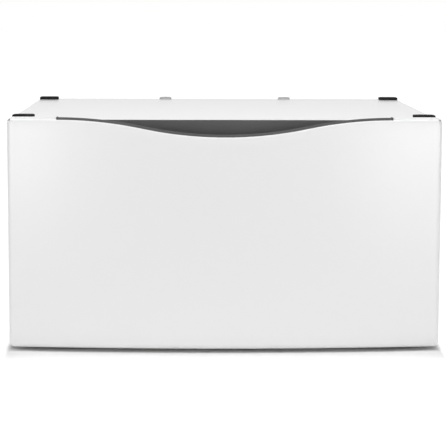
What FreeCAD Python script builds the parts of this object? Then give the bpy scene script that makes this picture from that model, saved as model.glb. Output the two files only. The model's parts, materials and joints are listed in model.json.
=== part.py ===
import FreeCAD, Part
import math
import os
import re

import Sketcher

# A laundry pedestal: a steel cabinet that a washer stands on, with one bowed drawer on ball-bearing
# slides and four levelling feet. Millimetres, +Z up, the front faces -Y, +X is to the right of
# someone who faces the front. The origin is on the floor, in the middle of the whole outline.

# Driving dimensions.
SIZES = {
    # cabinet
    "cabinet_width": 686,
    "cabinet_depth": 622,
    "top_height": 368,
    "skirt_gap": 9,
    "steel": 1.2,
    "fit_gap": 0.2,
    "seam_gap": 1,
    "bend_radius": 5,
    "pan_depth": 14,
    "front_flange": 20,
    "rear_flange": 16,
    "rear_rib_height": 18,
    "rear_rib_press": 3,
    # rails across the cabinet, and base rails along its sides
    "top_rail_height": 34,
    "front_rail_reach": 76,
    "rear_rail_reach": 62,
    "rail_lip": 14,
    "bottom_rail_height": 42,
    "bottom_rail_reach": 24,
    "base_rail_height": 30,
    "base_rail_reach": 56,
    "base_rail_lip": 10,
    # washer pads and bolt holes
    "pad_size": 35,
    "pad_thickness": 4.5,
    "pad_corner": 5,
    "pad_edge": 1,
    "pad_side_inset": 3,
    "front_pad_setback": 50,
    "rear_pad_setback": 24,
    "bolt_hole_radius": 4.5,
    # plugs at the rear edge of the top
    "plug_radius": 11.5,
    "plug_height": 4,
    "plug_edge": 2,
    "plug_stem_radius": 4,
    "plug_stem_length": 8,
    "plug_setback": 14,
    "left_plug_offset": 102,
    "right_plug_offset": 124,
    # feet
    "sole_radius": 19,
    "sole_height": 8,
    "sole_taper": 2,
    "hexagon_radius": 9.8,
    "hexagon_height": 6,
    "stud_radius": 5,
    "stud_length": 39,
    "thread_clearance": 0.05,
    "lock_nut_height": 6.5,
    "lock_nut_gap": 0.4,
    "weld_nut_height": 9,
    "nut_radius": 9.2,
    "foot_side_inset": 36,
    "foot_end_inset": 58,
    # drawer front
    "front_gap": 3,
    "panel_side_depth": 20,
    "bow_rise": 21,
    "panel_rise": 4,
    "floor_gap": 6.5,
    "panel_steel": 1,
    "edge_round": 7,
    "panel_corner": 9,
    "scoop_half": 259,
    "scoop_depth": 26.5,
    "liner_flange": 10,
    # handle insert
    "rim_half": 270,
    "rim_play": 0.4,
    "rim_drop": 3.2,
    "rim_height": 4,
    "pocket_depth": 71,
    "pocket_wall": 2.5,
    "pocket_back_drop": 0.6,
    # drawer box
    "drawer_steel": 1,
    "box_clearance": 6,
    "box_height": 200,
    "box_depth": 540,
    "floor_fold": 8,
    "lip_clearance": 3,
    "back_flange": 14,
    # divider and its guides
    "divider_offset": 60,
    "divider_thickness": 2.5,
    "divider_height": 118,
    "divider_play": 0.3,
    "guide_wall": 1.5,
    "guide_depth": 10,
    "grip_half": 50,
    "grip_depth": 22,
    # slides
    "bracket_depth": 22,
    "bracket_foot": 16,
    "bracket_length": 520,
    "slide_height": 45,
    "slide_width": 12.7,
    "slide_steel": 1.2,
    "slide_length": 500,
    "slide_setback": 6,
    "slide_rise": 100,
    "slide_travel": 450,
    "middle_setback": 25,
    "ball_gap": 3.8,
    "ball_clearance": 0.1,
    "cage_gap": 0.3,
    "cage_web": 0.8,
    "cage_strip": 1.6,
    "cage_tip": 1,
    "cage_length": 236,
    "cage_pocket_play": 0.2,
    "ball_pitch": 30,
    # release levers
    "lever_offset": 24,
    "lever_length": 64,
    "lever_half_height": 4,
    "lever_thickness": 2.4,
    "lever_pin_radius": 2,
    "lever_pin_clearance": 0.05,
    # screws and bumpers
    "screw_radius": 2,
    "screw_play": 0.2,
    "screw_head_radius": 4,
    "screw_head": 2.4,
    "screw_length": 6,
    "flat_head": 1,
    "screw_end_inset": 40,
    "bumper_radius": 6,
    "bumper_play": 0.3,
    "bumper_stem_radius": 2.5,
    "bumper_stem_length": 6,
    "bumper_end_inset": 50,
}

# Places and sizes that follow from the driving dimensions.
PLACES = {
    "half_width": "cabinet_width / 2",
    "overall_depth": "cabinet_depth + screw_head + front_gap + panel_side_depth + bow_rise",
    "crown_y": "-overall_depth / 2",
    "rear_y": "overall_depth / 2 - screw_head",
    "front_y": "rear_y - cabinet_depth",
    "panel_back_y": "front_y - front_gap",
    # cabinet
    "top_under": "top_height - steel",
    "seam_z": "top_height - pan_depth - seam_gap",
    "side_inner_x": "half_width - steel",
    "joggle_x": "half_width - steel - fit_gap",
    "joggle_y": "rear_y - steel - fit_gap",
    "nested_top": "top_height - bend_radius",
    "bend_inset": "bend_radius + fit_gap",
    "rail_half": "half_width - bend_inset",
    "side_rear_y": "rear_y - steel - fit_gap",
    "bottom_rail_front_y": "front_y + steel + fit_gap",
    "bottom_rail_rear_y": "side_rear_y - steel",
    "pad_x": "half_width - pad_side_inset - pad_size / 2",
    "front_pad_y": "front_y + front_pad_setback",
    "rear_pad_y": "rear_y - rear_pad_setback",
    "plug_y": "rear_y - plug_setback",
    # feet and base
    "hexagon_top": "sole_height + hexagon_height",
    "lock_nut_z": "hexagon_top + lock_nut_gap",
    "base_flange_z": "lock_nut_z + lock_nut_height",
    "weld_nut_z": "base_flange_z + steel",
    "base_rail_x": "side_inner_x - fit_gap",
    "base_front_y": "bottom_rail_front_y + bottom_rail_reach + seam_gap",
    "base_rear_y": "bottom_rail_rear_y - bottom_rail_reach - seam_gap",
    "bottom_rail_top": "skirt_gap + bottom_rail_height",
    "foot_x": "side_inner_x - foot_side_inset",
    "front_foot_y": "front_y + foot_end_inset",
    "rear_foot_y": "rear_y - foot_end_inset",
    "thread_bore": "stud_radius + thread_clearance",
    # drawer front
    "bow_radius": "(half_width ^ 2 + bow_rise ^ 2) / (2 * bow_rise)",
    "bow_centre_y": "crown_y + bow_radius",
    "panel_top": "top_height + panel_rise",
    "scoop_radius": "(scoop_half ^ 2 + scoop_depth ^ 2) / (4 * scoop_depth)",
    "scoop_slope": "(2 * scoop_radius - scoop_depth) / (2 * scoop_radius)",
    "lip_z": "panel_top - rim_drop",
    "rim_top": "lip_z + rim_height",
    "lip_inner": "edge_round - sqrt((edge_round - panel_steel) ^ 2 - (edge_round - rim_drop) ^ 2)",
    "rim_setback": "lip_inner + rim_play",
    "rim_radius": "bow_radius - rim_setback",
    "rim_x": "rim_half - fit_gap",
    "rim_end_y": "bow_centre_y - sqrt(rim_radius ^ 2 - rim_x ^ 2)",
    "pocket_radius": "rim_radius - pocket_wall",
    "pocket_x": "rim_x - pocket_wall",
    "pocket_end_y": "bow_centre_y - sqrt(pocket_radius ^ 2 - pocket_x ^ 2)",
    "pocket_back_y": "panel_back_y - pocket_wall",
    "pocket_floor": "top_height - pocket_depth",
    "pocket_back_top": "top_height - pocket_back_drop",
    # drawer box
    "liner_inset": "panel_steel + fit_gap",
    "liner_x": "half_width - liner_inset",
    "liner_low": "floor_gap + liner_inset",
    "liner_high": "panel_top - liner_inset",
    "liner_front_y": "panel_back_y - liner_flange",
    "liner_cut_z": "pocket_floor - fit_gap",
    "slide_x": "side_inner_x - bracket_depth",
    "box_x": "slide_x - slide_width",
    "box_inner_x": "box_x - drawer_steel",
    "box_low": "bottom_rail_top + box_clearance",
    "box_high": "box_low + box_height",
    "box_floor": "box_low + floor_fold",
    "box_lip_x": "slide_x - lip_clearance",
    "box_rear_y": "panel_back_y + box_depth",
    "back_inner_y": "box_rear_y - drawer_steel",
    "bottom_front_y": "panel_back_y + fit_gap",
    # divider
    "divider_half": "divider_thickness / 2",
    "slot_half": "divider_half + divider_play",
    "guide_half": "slot_half + guide_wall",
    "divider_front_y": "panel_back_y + guide_wall + divider_play",
    "divider_rear_y": "back_inner_y - guide_wall - divider_play",
    "divider_low": "box_floor + divider_play",
    "divider_high": "divider_low + divider_height",
    "guide_low": "box_floor + fit_gap",
    # slides, seen as distances from the bracket towards the drawer
    "slide_z": "box_low + slide_rise",
    "slide_front_y": "front_y + slide_setback",
    "slide_rear_y": "slide_front_y + slide_length",
    "middle_front_y": "slide_front_y + middle_setback",
    "middle_rear_y": "slide_rear_y - middle_setback",
    "outer_half": "slide_height / 2",
    "middle_half": "outer_half - slide_steel - ball_gap",
    "inner_half": "middle_half - slide_steel - ball_gap",
    "outer_cage_u": "slide_steel + cage_gap",
    "middle_u": "outer_cage_u + cage_web + cage_gap",
    "inner_cage_u": "middle_u + slide_steel + cage_gap",
    "inner_u": "inner_cage_u + cage_web + cage_gap",
    "outer_flange_u": "slide_width - slide_steel - 2 * cage_gap",
    "middle_flange_u": "slide_width - 2 * cage_gap",
    "inner_web_u": "slide_width - slide_steel",
    "ball_radius": "ball_gap / 2 - ball_clearance",
    "outer_ball_u": "(middle_u + outer_flange_u) / 2",
    "inner_ball_u": "(inner_u + middle_flange_u) / 2",
    "outer_ball_v": "middle_half + ball_gap / 2",
    "inner_ball_v": "inner_half + ball_gap / 2",
    "outer_cage_y": "middle_front_y + slide_travel / 4 + cage_gap",
    "inner_cage_y": "slide_front_y + slide_travel / 4 + cage_gap",
    "pocket_play_radius": "ball_radius + cage_pocket_play",
    "lever_y": "slide_front_y + slide_length / 2 + lever_offset",
    "lever_u": "inner_web_u - cage_gap - lever_thickness",
    # screws and bumpers
    "screw_hole": "screw_radius + screw_play",
    "flat_head_hole": "screw_head_radius + screw_play",
    "bumper_thickness": "front_gap - bumper_play",
    "bumper_hole": "bumper_stem_radius + screw_play",
    "bumper_x": "half_width - front_flange / 2",
}

doc = FreeCAD.newDocument("laundry_pedestal")
sub_parts = []


def full(expression, own=""):
    """The expression with each name led by its sheet's name, unless it is the sheet's own."""

    def qualify(match):
        word = match.group()
        sheet = "Sizes" if word in SIZES else "Places" if word in PLACES else ""
        return word if sheet in ("", own) else f"{sheet}.{word}"

    return re.sub(r"[a-z_]+", qualify, expression)


def fill_sheet(name, cells):
    sheet = doc.addObject("Spreadsheet::Sheet", name)
    for row, (alias, content) in enumerate(cells.items(), start=1):
        sheet.set(f"A{row}", alias)
        sheet.set(f"B{row}", str(content))
        sheet.setAlias(f"B{row}", alias)
    return sheet


fill_sheet("Sizes", SIZES)
places = fill_sheet("Places", {alias: "=" + full(rule, "Places") for alias, rule in PLACES.items()})
doc.recompute()


def value(expression):
    """What an expression comes to now, as a plain number."""
    result = places.evalExpression(full(expression))
    return float(getattr(result, "Value", result))


def bind(thing, prop, expression):
    thing.setExpression(prop, full(expression))


def move(thing, x="0", y="0", z="0"):
    """Ties a sub-part's place to the sheets."""
    for axis, expression in zip("xyz", (x, y, z)):
        if expression != "0":
            bind(thing, f"Placement.Base.{axis}", expression)


def keep(thing, label):
    """Names a finished sub-part; the label is also its file's name."""
    thing.Label = label
    sub_parts.append(thing)
    return thing


def new_body(label):
    body = doc.addObject("PartDesign::Body", label)
    return keep(body, label)


def minus(expression):
    return f"-({expression})"


# ---------------------------------------------------------------- sketches

def new_sketch(body, name, plane, level):
    """A sketch on one of the body's own planes, raised to a level along the plane's third axis."""
    sketch = body.newObject("Sketcher::SketchObject", name)
    origin_plane = [f for f in body.Origin.OriginFeatures if f.Role == f"{plane}_Plane"][0]
    sketch.AttachmentSupport = [(origin_plane, "")]
    sketch.MapMode = "FlatFace"
    bind(sketch, "AttachmentOffset.Base.z", minus(level) if plane == "XZ" else level)
    return sketch


def arc_between(start, end, radius, turns_left):
    """The shorter arc between two points, drawn anticlockwise."""
    chord = end - start
    offset = math.sqrt(max(radius * radius - chord.Length ** 2 / 4, 0))
    normal = FreeCAD.Vector(-chord.y, chord.x, 0).normalize()
    centre = (start + end) / 2 + normal * (offset if turns_left else -offset)
    first, last = (start, end) if turns_left else (end, start)
    angles = [math.atan2(p.y - centre.y, p.x - centre.x) for p in (first, last)]
    circle = Part.Circle(centre, FreeCAD.Vector(0, 0, 1), radius)
    return Part.ArcOfCircle(circle, angles[0], angles[1])


def set_size(sketch, rule, expression):
    """Adds a dimension to a sketch and ties it to an expression."""
    number = sketch.addConstraint(rule)
    bind(sketch, f"Constraints[{number}]", expression)


def pin_point(sketch, geometry, spot, across, up):
    """Ties one point of a sketch to its two expressions; 0 lies on the sketch's own axis."""
    for kind, axis, expression in (("DistanceX", -2, across), ("DistanceY", -1, up)):
        if expression == "0":
            sketch.addConstraint(Sketcher.Constraint("PointOnObject", geometry, spot, axis))
        else:
            rule = Sketcher.Constraint(kind, -1, 1, geometry, spot, value(expression))
            set_size(sketch, rule, expression)


def draw_outline(sketch, outline):
    """A closed outline: its corners are pairs of expressions, and its arcs are (radius, turns_left)
    for the edges that aren't straight, by the index of the corner that they leave from."""
    corners, arcs = outline
    points = [FreeCAD.Vector(value(across), value(up), 0) for across, up in corners]
    count = len(points)
    ends = []
    for index, start in enumerate(points):
        end = points[(index + 1) % count]
        turns_left = True
        if index in arcs:
            radius, turns_left = arcs[index]
            sketch.addGeometry(arc_between(start, end, value(radius), turns_left), False)
        else:
            sketch.addGeometry(Part.LineSegment(start, end), False)
        ends.append((1, 2) if turns_left else (2, 1))
    for index in range(count):
        after = (index + 1) % count
        sketch.addConstraint(
            Sketcher.Constraint("Coincident", index, ends[index][1], after, ends[after][0])
        )
    for index, (across, up) in enumerate(corners):
        pin_point(sketch, index, ends[index][0], across, up)
    for index, (radius, _) in arcs.items():
        set_size(sketch, Sketcher.Constraint("Radius", index, value(radius)), radius)


def draw_rings(sketch, centres, radius):
    for index, (across, up) in enumerate(centres):
        centre = FreeCAD.Vector(value(across), value(up), 0)
        sketch.addGeometry(Part.Circle(centre, FreeCAD.Vector(0, 0, 1), value(radius)), False)
        pin_point(sketch, index, 3, across, up)
        set_size(sketch, Sketcher.Constraint("Radius", index, value(radius)), radius)


def straight(corners):
    """An outline with no arcs."""
    return corners, {}


def rectangle(left, low, right, high):
    return straight([(left, low), (right, low), (right, high), (left, high)])


def rounded(left, low, right, high, radius):
    """A rectangle with rounded corners."""
    left, low, right, high, radius = (f"({side})" for side in (left, low, right, high, radius))
    corners = [
        (f"{left} + {radius}", low), (f"{right} - {radius}", low),
        (right, f"{low} + {radius}"), (right, f"{high} - {radius}"),
        (f"{right} - {radius}", high), (f"{left} + {radius}", high),
        (left, f"{high} - {radius}"), (left, f"{low} + {radius}"),
    ]
    return corners, {index: (radius, True) for index in (1, 3, 5, 7)}


def both_signs(rows):
    """Points mirrored to both sides of the sketch's upright axis."""
    return [(side, up) for across, up in rows for side in (minus(across), across)]


# ---------------------------------------------------------------- features

def extrude(body, kind, sketch, plane, low, high):
    """A pad or a pocket from low to high along the plane's third axis."""
    feature = body.newObject(f"PartDesign::{kind}", f"{sketch.Name}_{kind.lower()}")
    feature.Profile = sketch
    feature.Reversed = (plane == "XZ") == (kind == "Pad")
    bind(feature, "Length", f"({high}) - ({low})")
    return feature


def pad(body, plane, outline, low, high):
    sketch = new_sketch(body, f"{body.Name}_outline", plane, low)
    draw_outline(sketch, outline)
    return extrude(body, "Pad", sketch, plane, low, high)


def pocket(body, plane, outline, low, high):
    sketch = new_sketch(body, f"{body.Name}_cutout", plane, low)
    draw_outline(sketch, outline)
    return extrude(body, "Pocket", sketch, plane, low, high)


def drill(body, plane, centres, radius, low, high):
    sketch = new_sketch(body, f"{body.Name}_holes", plane, low)
    draw_rings(sketch, centres, radius)
    return extrude(body, "Pocket", sketch, plane, low, high)


def post(body, plane, centre, radius, low, high):
    sketch = new_sketch(body, f"{body.Name}_post", plane, low)
    draw_rings(sketch, [centre], radius)
    return extrude(body, "Pad", sketch, plane, low, high)


def turned(body, outline):
    """A piece turned about its own Z axis from half of its section."""
    sketch = new_sketch(body, f"{body.Name}_section", "XZ", "0")
    draw_outline(sketch, outline)
    feature = body.newObject("PartDesign::Revolution", f"{body.Name}_turned")
    feature.Profile = sketch
    feature.ReferenceAxis = (sketch, ["V_Axis"])
    feature.Angle = 360
    return feature


def round_edges(body, picked, radius):
    """Rounds the edges of the body's last feature that picked() chooses."""
    doc.recompute()
    base = body.Tip
    names = [f"Edge{i}" for i, edge in enumerate(base.Shape.Edges, start=1) if picked(edge)]
    fillet = body.newObject("PartDesign::Fillet", f"{body.Name}_rounding")
    fillet.Base = (base, names)
    bind(fillet, "Radius", radius)
    return fillet


def lies_at(height):
    """Picks the edges that lie level at one height."""

    def picked(edge):
        box = edge.BoundBox
        return abs(box.ZMin - value(height)) < 1e-4 and abs(box.ZMax - value(height)) < 1e-4

    return picked


def mirror(source, label):
    """The same piece on the other side of the cabinet's middle plane."""
    twin = doc.addObject("Part::Mirroring", label)
    twin.Source = source
    twin.Normal = FreeCAD.Vector(1, 0, 0)
    return keep(twin, label)


def copies_of(name, piece, spots, rotation=None):
    """Copies of one piece at several spots, as separate solids."""
    copies = []
    for index, spot in enumerate(spots):
        copy = doc.addObject("App::Link", f"{name}_copy_{index}")
        copy.LinkedObject = piece
        if rotation:
            copy.Placement = FreeCAD.Placement(FreeCAD.Vector(0, 0, 0), rotation)
        move(copy, *spot)
        copies.append(copy)
    compound = doc.addObject("Part::Compound", name)
    compound.Links = copies
    return compound


def group(label, piece, spots, rotation=None):
    """Copies of one piece, kept as one sub-part."""
    return keep(copies_of(label, piece, spots, rotation), label)


def group_on_both_sides(label, piece, spots, rotation):
    """Copies on the right and their mirror images on the left, kept as one sub-part."""
    right = copies_of(f"{label}_right", piece, spots, rotation)
    left = doc.addObject("Part::Mirroring", f"{label}_left")
    left.Source = right
    left.Normal = FreeCAD.Vector(1, 0, 0)
    compound = doc.addObject("Part::Compound", label)
    compound.Links = [right, left]
    return keep(compound, label)


def pattern_piece(name):
    """A piece that is only copied, and is no sub-part itself."""
    return doc.addObject("PartDesign::Body", name)


def spread(first, last, count):
    """Evenly spaced expressions from first to last."""
    steps = count - 1
    return [f"({first}) + (({last}) - ({first})) * {index} / {steps}" for index in range(count)]


# Quarter turns that point a piece made along +Z the other way, or along another axis.
FACING_FRONT = FreeCAD.Rotation(FreeCAD.Vector(1, 0, 0), 90)
FACING_REAR = FreeCAD.Rotation(FreeCAD.Vector(1, 0, 0), -90)
FACING_RIGHT = FreeCAD.Rotation(FreeCAD.Vector(0, 1, 0), 90)
FACING_LEFT = FreeCAD.Rotation(FreeCAD.Vector(0, 1, 0), -90)

# ---------------------------------------------------------------- shared rows of holes

PAD_SPOTS = both_signs([("pad_x", "front_pad_y"), ("pad_x", "rear_pad_y")])
FOOT_ROWS = {"front": "front_foot_y", "rear": "rear_foot_y"}
REAR_SCREW_X = "half_width - steel - rear_flange / 2"
REAR_SCREW_ROWS = spread("bottom_rail_top + screw_head_radius", "seam_z - screw_end_inset", 3)
PLUG_SPOTS = [("-left_plug_offset", "plug_y"), ("right_plug_offset", "plug_y")]
SLIDE_SCREW_ROWS = spread("slide_front_y + screw_end_inset", "slide_rear_y - screw_end_inset", 3)
BOX_SCREW_ROWS = spread("box_low + screw_end_inset", "box_high - screw_end_inset", 2)
BOX_SCREW_X = "(box_x + box_lip_x) / 2"
BUMPER_ROWS = ["skirt_gap + bumper_end_inset", "seam_z - bumper_end_inset"]
HALF_PITCHES_TO_BALLS = range(-7, 8, 2)


# ---------------------------------------------------------------- cabinet

def make_top_panel():
    """A pan of folded sheet; its rims hang down outside the tucked-in edges of the walls."""
    body = new_body("top_panel")
    low = "top_height - pan_depth"
    inner_bend = "bend_radius - steel"
    pad(body, "XY", rounded("-half_width", "front_y", "half_width", "rear_y", "bend_radius"),
        low, "top_height")
    pocket(body, "XY", rounded(
        "-side_inner_x", "front_y + steel", "side_inner_x", "rear_y - steel", inner_bend),
        low, "top_under")
    round_edges(body, lies_at("top_under"), inner_bend)
    round_edges(body, lies_at("top_height"), "bend_radius")
    drill(body, "XY", PAD_SPOTS, "bolt_hole_radius", "top_under", "top_height")
    drill(body, "XY", PLUG_SPOTS, "plug_stem_radius + screw_play", "top_under", "top_height")


def tucked_wall(outer, tucked):
    """Section of a wall whose top edge steps inwards by one sheet to tuck under the top panel."""
    return straight([
        (outer, "skirt_gap"), (outer, "seam_z"), (tucked, "seam_z"), (tucked, "nested_top"),
        (f"{tucked} - steel", "nested_top"), (f"{tucked} - steel", "seam_z - steel"),
        (f"{outer} - steel", "seam_z - steel"), (f"{outer} - steel", "skirt_gap"),
    ])


def make_side_panels():
    """Side walls with folded front and rear edges; the tucked part stops short of the pan's corners."""
    body = new_body("right_side_panel")
    pad(body, "XZ", tucked_wall("half_width", "joggle_x"), "front_y + bend_inset",
        "rear_y - bend_inset")
    for start, end in (("front_y", "front_y + bend_inset"), ("rear_y - bend_inset", "side_rear_y")):
        pad(body, "XY", rectangle("side_inner_x", start, "half_width", end), "skirt_gap", "seam_z")
    pad(body, "XY", rectangle(
        "half_width - front_flange", "front_y", "side_inner_x", "front_y + steel"),
        "skirt_gap", "seam_z")
    pad(body, "XY", rectangle(
        "side_inner_x - rear_flange", "side_rear_y - steel", "side_inner_x", "side_rear_y"),
        "skirt_gap", "seam_z - steel - seam_gap")
    drill(body, "XZ", [("bumper_x", row) for row in BUMPER_ROWS], "bumper_hole",
          "front_y", "front_y + steel")
    drill(body, "XZ", [(REAR_SCREW_X, row) for row in REAR_SCREW_ROWS],
          "screw_hole", "side_rear_y - steel", "side_rear_y")
    mirror(body, "left_side_panel")


def make_rear_panel():
    """The rear wall, stiffened by two pressed ribs."""
    body = new_body("rear_panel")
    pad(body, "YZ", tucked_wall("rear_y", "joggle_y"), "-rail_half", "rail_half")
    for side, edge in (("-1", "-half_width"), ("1", "rail_half")):
        far = "-rail_half" if side == "-1" else "half_width"
        pad(body, "XY", rectangle(edge, "rear_y - steel", far, "rear_y"), "skirt_gap", "seam_z")
    for share in (1, 2):
        middle = f"(skirt_gap + (seam_z - skirt_gap) * {share} / 3)"
        low = f"{middle} - rear_rib_height / 2"
        high = f"{middle} + rear_rib_height / 2"
        end = "half_width - rear_flange - screw_end_inset"
        pad(body, "XZ", rounded(
            minus(f"{end} + steel"), f"{low} - steel", f"({end}) + steel", f"{high} + steel",
            "rear_rib_height / 2"),
            "rear_y - steel - rear_rib_press", "rear_y - steel / 2")
        pocket(body, "XZ", rounded(minus(end), low, end, high, "rear_rib_height / 2 - steel"),
               "rear_y - rear_rib_press", "rear_y")
    drill(body, "XZ", both_signs([(REAR_SCREW_X, row) for row in REAR_SCREW_ROWS]),
          "screw_hole", "rear_y - steel", "rear_y")


def top_rail(back, way, reach):
    """Section of a top rail: a wide flange under the washer pads, a web, and a lip along its foot.
    It reaches away from back the way that its sign says."""
    web = f"{back} {way} steel"
    tip = f"{back} {way} {reach}"
    lip = f"{back} {way} rail_lip"
    low = "top_under - top_rail_height"
    return straight([
        (back, low), (lip, low), (lip, f"{low} + steel"), (web, f"{low} + steel"),
        (web, "top_under - steel"), (tip, "top_under - steel"), (tip, "top_under"),
        (back, "top_under"),
    ])


def bottom_rail(back, way):
    """Section of a bottom rail: an upright web at back, with two flanges that reach away from it."""
    web = f"{back} {way} steel"
    tip = f"{back} {way} bottom_rail_reach"
    return straight([
        (back, "skirt_gap"), (tip, "skirt_gap"), (tip, "skirt_gap + steel"),
        (web, "skirt_gap + steel"), (web, "bottom_rail_top - steel"),
        (tip, "bottom_rail_top - steel"), (tip, "bottom_rail_top"), (back, "bottom_rail_top"),
    ])


def make_rails():
    for label, back, way, reach, row in (
        ("front_top_rail", "front_y + bend_inset", "+", "front_rail_reach", "front_pad_y"),
        ("rear_top_rail", "rear_y - bend_inset", "-", "rear_rail_reach", "rear_pad_y"),
    ):
        body = new_body(label)
        pad(body, "YZ", top_rail(back, way, reach), "-rail_half", "rail_half")
        drill(body, "XY", both_signs([("pad_x", row)]), "bolt_hole_radius",
              "top_under - steel", "top_under")
    drill(body, "XY", PLUG_SPOTS, "plug_stem_radius + screw_play", "top_under - steel", "top_under")
    for label, back, way in (
        ("front_bottom_rail", "bottom_rail_front_y", "+"),
        ("rear_bottom_rail", "bottom_rail_rear_y", "-"),
    ):
        body = new_body(label)
        pad(body, "YZ", bottom_rail(back, way), "-base_rail_x", "base_rail_x")


def make_base_rails():
    """Rails along the sides; their floor flange carries the weld nuts of the feet."""
    body = new_body("right_base_rail")
    inner = "base_rail_x - base_rail_reach"
    pad(body, "XZ", straight([
        ("base_rail_x", "base_flange_z"), ("base_rail_x", "base_flange_z + base_rail_height"),
        ("base_rail_x - steel", "base_flange_z + base_rail_height"),
        ("base_rail_x - steel", "weld_nut_z"), (f"{inner} + steel", "weld_nut_z"),
        (f"{inner} + steel", "base_flange_z + base_rail_lip"),
        (inner, "base_flange_z + base_rail_lip"), (inner, "base_flange_z"),
    ]), "base_front_y", "base_rear_y")
    drill(body, "XY", [("foot_x", row) for row in FOOT_ROWS.values()],
          "stud_radius + screw_play", "base_flange_z", "weld_nut_z")
    mirror(body, "left_base_rail")


def make_pads():
    """Rubber pads round the washer's bolt holes."""
    for (x, y), label in zip(PAD_SPOTS, ("front_left", "front_right", "rear_left", "rear_right")):
        body = new_body(f"top_pad_{label}")
        half = "pad_size / 2"
        pad(body, "XY", rounded(minus(half), minus(half), half, half, "pad_corner"),
            "0", "pad_thickness")
        round_edges(body, lies_at("pad_thickness"), "pad_edge")
        drill(body, "XY", [("0", "0")], "bolt_hole_radius", "0", "pad_thickness")
        move(body, x, y, "top_height")


def make_plugs():
    """Two low round plugs at the rear edge of the top."""
    for label, (x, y) in zip(("left", "right"), PLUG_SPOTS):
        body = new_body(f"rear_plug_{label}")
        turned(body, ([
            ("0", "-plug_stem_length"), ("plug_stem_radius", "-plug_stem_length"),
            ("plug_stem_radius", "0"), ("plug_radius", "0"),
            ("plug_radius", "plug_height - plug_edge"),
            ("plug_radius - plug_edge", "plug_height"), ("0", "plug_height"),
        ], {4: ("plug_edge", True)}))
        move(body, x, y, "top_height")


def hexagon_nut(name, height):
    """A hexagon nut, bored to run on the stud of a foot."""
    prism = doc.addObject("Part::Prism", f"{name}_hexagon")
    prism.Polygon = 6
    bind(prism, "Circumradius", "nut_radius")
    bind(prism, "Height", height)
    bore = doc.addObject("Part::Cylinder", f"{name}_bore")
    bind(bore, "Radius", "thread_bore")
    bind(bore, "Height", height)
    nut = doc.addObject("Part::Cut", name)
    nut.Base = prism
    nut.Tool = bore
    return nut


def make_feet():
    """Each foot is a rubber sole and a threaded stud with a hexagon, drawn up to its lock nut."""
    for end, y in FOOT_ROWS.items():
        for side, x in (("left", "-foot_x"), ("right", "foot_x")):
            sole = new_body(f"foot_sole_{end}_{side}")
            turned(sole, straight([
                ("0", "0"), ("sole_radius", "0"), ("sole_radius", "sole_height - sole_taper"),
                ("sole_radius - sole_taper", "sole_height"), ("0", "sole_height"),
            ]))
            move(sole, x, y)
            hexagon = doc.addObject("Part::Prism", f"hexagon_{end}_{side}")
            hexagon.Polygon = 6
            bind(hexagon, "Circumradius", "hexagon_radius")
            bind(hexagon, "Height", "hexagon_height")
            shank = doc.addObject("Part::Cylinder", f"shank_{end}_{side}")
            bind(shank, "Radius", "stud_radius")
            bind(shank, "Height", "hexagon_height + stud_length")
            stud = keep(doc.addObject("Part::Fuse", f"stud_{end}_{side}"), f"foot_stud_{end}_{side}")
            stud.Base = hexagon
            stud.Tool = shank
            move(stud, x, y, "sole_height")
    spots = [(x, y) for y in FOOT_ROWS.values() for x in ("-foot_x", "foot_x")]
    lock_nut = hexagon_nut("lock_nut", "lock_nut_height")
    group("lock_nuts", lock_nut, [(x, y, "lock_nut_z") for x, y in spots])
    weld_nut = hexagon_nut("weld_nut", "weld_nut_height")
    group("weld_nuts", weld_nut, [(x, y, "weld_nut_z") for x, y in spots])


# ---------------------------------------------------------------- drawer front

def plan_outline(inset, radius):
    """The drawer front from above: straight at the back, bowed at the front."""
    x = f"(half_width - {inset})"
    end = f"bow_centre_y - sqrt({radius} ^ 2 - {x} ^ 2)"
    corners = [(minus(x), end), (x, end), (x, "panel_back_y"), (minus(x), "panel_back_y")]
    return corners, {0: (radius, True)}


def front_outline(inset):
    """The drawer front from the front: rounded corners, and a wave-shaped scoop in its top edge.
    The scoop is two shoulders and a middle arc of one radius; an inset keeps their centres."""
    x = f"(half_width - {inset})"
    low = f"(floor_gap + {inset})"
    top = f"(panel_top - {inset})"
    corner = f"(panel_corner - {inset})"
    bend_x = f"(scoop_half / 2 + {inset} * scoop_half / (2 * scoop_radius))"
    bend_z = f"(panel_top - scoop_depth / 2 - {inset} * scoop_slope)"
    corners = [
        (f"-{x} + {corner}", low), (f"{x} - {corner}", low),
        (x, f"{low} + {corner}"), (x, f"{top} - {corner}"), (f"{x} - {corner}", top),
        ("scoop_half", top), (bend_x, bend_z), (minus(bend_x), bend_z), ("-scoop_half", top),
        (f"-{x} + {corner}", top), (minus(x), f"{top} - {corner}"), (minus(x), f"{low} + {corner}"),
    ]
    shoulder = f"scoop_radius - {inset}"
    return corners, {
        1: (corner, True), 3: (corner, True),
        5: (shoulder, True), 6: (f"scoop_radius + {inset}", False), 7: (shoulder, True),
        9: (corner, True), 11: (corner, True),
    }


def scoop_cover(drop, rear):
    """Everything above the scoop's curve between the ends of the handle's rim, lowered by drop."""
    level = f"panel_top - {drop}"
    bend_z = f"panel_top - {drop} - scoop_depth / 2"
    sky = "panel_top + rim_height + pan_depth"
    return ([
        (minus(rear), level), ("-scoop_half", level), ("-scoop_half / 2", bend_z),
        ("scoop_half / 2", bend_z), ("scoop_half", level), (rear, level), (rear, sky),
        (minus(rear), sky),
    ], {1: ("scoop_radius", False), 2: ("scoop_radius", True), 3: ("scoop_radius", False)})


def loose_sketch(name, plane, level, outline):
    """A sketch that stands by itself, on a plane parallel to XY or XZ."""
    sketch = doc.addObject("Sketcher::SketchObject", name)
    if plane == "XZ":
        sketch.Placement = FreeCAD.Placement(FreeCAD.Vector(0, 0, 0), FACING_FRONT)
        bind(sketch, "Placement.Base.y", level)
    else:
        bind(sketch, "Placement.Base.z", level)
    draw_outline(sketch, outline)
    return sketch


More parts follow.
